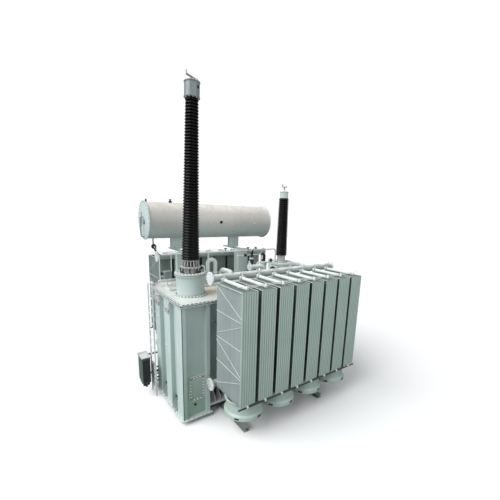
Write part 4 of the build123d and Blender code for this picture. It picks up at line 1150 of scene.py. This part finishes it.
cap_way, dial_way = (-0.35, -0.94, 0), (-0.77, -0.64, 0)
made("cover_pipework", [
    upright(2.52, 0.3, cover_top, 4.5, 0.045, 14),
    bent_tube([at(2.45, 0.3, 4.55), at(2.98, 0.3, 4.55), at(2.98, 0.3, cover_top)], 0.07, 0.12, 16),
    flange(0.12, 0.03, at(2.45, 0.3, 4.55), (-1, 0, 0), 8, 0.008, 20),
    upright(2.42, 0.3, 4.5, 4.75, 0.025, 10),
    flange(0.1, 0.02, at(2.98, 0.3, cover_top), (0, 0, 1), 8, 0.008, 20),
    flange(0.085, 0.02, at(2.5, 0.3, cover_top), (0, 0, 1), 6, 0.008, 18),
    upright(3.98, 1.15, cover_top, 4.6, 0.035),
    turned([(0.09, 0), (0.095, 0.01), (0.095, 0.05), (0.06, 0.07)], 20, at(3.98, 1.2, 4.56), cap_way),
    bar(at(4.4, 1.2, 4.28), at(3.88, 0.9, 4.28), 0.05, 14),
    turned([(0.12, 0), (0.125, 0.01), (0.125, 0.035), (0.11, 0.04)], 24, at(3.9, 0.91, 4.28), dial_way),
    upright(3.72, 2.05, cover_top, 4.5, 0.03, 10),
    flange(0.08, 0.03, at(3.72, 2.05, 4.5), (0, 0, 1), 6, 0.008, 18),
    upright(0.45, 2.36, cover_top, 4.0, 0.025, 10),
    bar(at(0.62, 2.36, cover_top), at(0.62, 2.38, 4.8), 0.016, 8),
    bar(at(0.22, 2.36, cover_top), at(0.22, 2.38, 4.78), 0.018, 8),
    bar(at(0.22, 2.36, 4.06), at(0.45, 2.36, 4.06), 0.014, 8),
    upright(3.45, 1.6, cover_top, 4.4, 0.02, 10),
    bent_tube([at(3.6, 1.5, cover_top), at(3.6, 1.5, 4.45), at(4.1, 1.4, 4.45), at(4.1, 1.4, cover_top)], 0.03,
              0.08, 12),
    bar(at(3.2, 2.3, 4.62), at(4.6, 2.3, 4.62), 0.02, 10),
], pipe_paint)
made("relay_box", [
    box(at(0.33, 2.26, 3.98), at(0.6, 2.48, 4.24)),
    box(at(1.7, 1.9, cover_top), at(1.95, 2.2, 3.95)),
    box(at(4.95, 2.2, cover_top), at(5.25, 2.5, 4.1)),
], cap_paint, edge=0.008)
handle = turned([(0.02, 0), (0.02, 0.07), (0.06, 0.075), (0.06, 0.1), (0.02, 0.105)], 14)
knob = turned([(0.05, 0), (0.07, 0.02), (0.07, 0.08), (0.05, 0.1)], 14)
made("black_fittings", [
    turned([(0.03, 0), (0.03, 0.03), (0.045, 0.04), (0.045, 0.1), (0.02, 0.11)], 14, at(0.33, 2.36, 4.15),
           (-1, 0, 0.3)),
    copies(handle, [at(x, 2.38, 4.82) for x in (1.45, 2.75, 3.78, 4.15)]),
    copies(knob, [at(x, 2.3, 4.57) for x in (3.6, 4.45)]),
    disc(0.055, 0.012, 18, at(3.943, 1.11, 4.56), cap_way),
    disc(0.1, 0.01, 22, at(3.868, 0.884, 4.28), dial_way),
    upright(3.45, 1.6, 4.3, 4.52, 0.04),
    upright(3.88, 2.25, cover_top, 4.75, 0.045),
    upright(4.0, 2.38, 4.55, 4.82, 0.04),
    turned([(0.05, 0), (0.07, 0.02), (0.07, 0.12), (0.03, 0.14)], 14, at(4.2, 1.9, 4.36)),
    turned([(0.04, 0), (0.08, 0.01), (0.08, 0.05), (0.04, 0.06)], 14, at(3.72, 2.04, 4.42), (-0.3, -1, 0)),
    turned([(0.05, 0), (0.09, 0.01), (0.09, 0.05), (0.04, 0.07), (0.04, 0.12)], 16, at(0.3, 3.2, 5.0),
           (-0.2, -1, 0)),
    turned([(0.03, 0), (0.075, 0.01), (0.075, 0.03), (0.03, 0.05)], 16, at(0.3, 2.95, 4.92), (-1, -0.4, 0)),
], dark_rubber_and_shade, smooth=35)


# Thin white rods tie the outer ends of the upper collectors in zigzag: from each collector in to a point
# between it and the next, a little lower, and out again.
for side, word in banks:
    outer = outer_face(side, word)
    places = list(bank_places(word))
    tie_z, tie_out, tie_in = places[0][3] + 0.004, outer - side * 0.17, outer - side * 0.36
    xs = [x for _, middles, _, _ in places for x in middles]
    ties = []
    for before, after in zip(xs[:-1], xs[1:]):
        low_point = ((before + after) / 2, tie_in, tie_z - 0.09)
        ties.append(bar((before, tie_out, tie_z), low_point, 0.007, 6))
        ties.append(bar(low_point, (after, tie_out, tie_z), 0.007, 6))
    made(f"{word}_zigzag_ties", ties, rod_white)

# The transformer stands on a plain pale studio floor with a faint unevenness. Light that the floor throws back
# at the walls is kept low, as from dark gravel.
floor_paint = bpy.data.materials.new("studio_floor")
floor_paint.use_nodes = True
tree = floor_paint.node_tree
space, seen = tree.nodes.new("ShaderNodeTexCoord"), tree.nodes.new("ShaderNodeLightPath")
grain, pale = tree.nodes.new("ShaderNodeTexNoise"), tree.nodes.new("ShaderNodeValToRGB")
grain.inputs["Scale"].default_value = 0.3
pale.color_ramp.elements[0].color = (0.95, 0.95, 0.95, 1)
pale.color_ramp.elements[1].color = (0.97, 0.97, 0.97, 1)
shader = tree.nodes["Principled BSDF"]
shader.inputs["Roughness"].default_value = 0.95
shader.inputs["Specular IOR Level"].default_value = 0.1
tree.links.new(space.outputs["Object"], grain.inputs["Vector"])
tree.links.new(grain.outputs[0], pale.inputs["Fac"])
floor_colour = mixed(tree, seen.outputs["Is Camera Ray"], (0.27, 0.29, 0.30), pale.outputs["Color"])
tree.links.new(floor_colour, shader.inputs["Base Color"])
floor_level = -0.002
floor_mesh = bpy.data.meshes.new("studio_floor")
floor_corners = [(x, y, floor_level) for x, y in ((-60, -60), (60, -60), (60, 60), (-60, 60))]
floor_mesh.from_pydata(floor_corners, [], [(0, 1, 2, 3)])
floor_mesh.materials.append(floor_paint)
studio_floor = bpy.data.objects.new("studio_floor", floor_mesh)
bpy.context.scene.collection.objects.link(studio_floor)
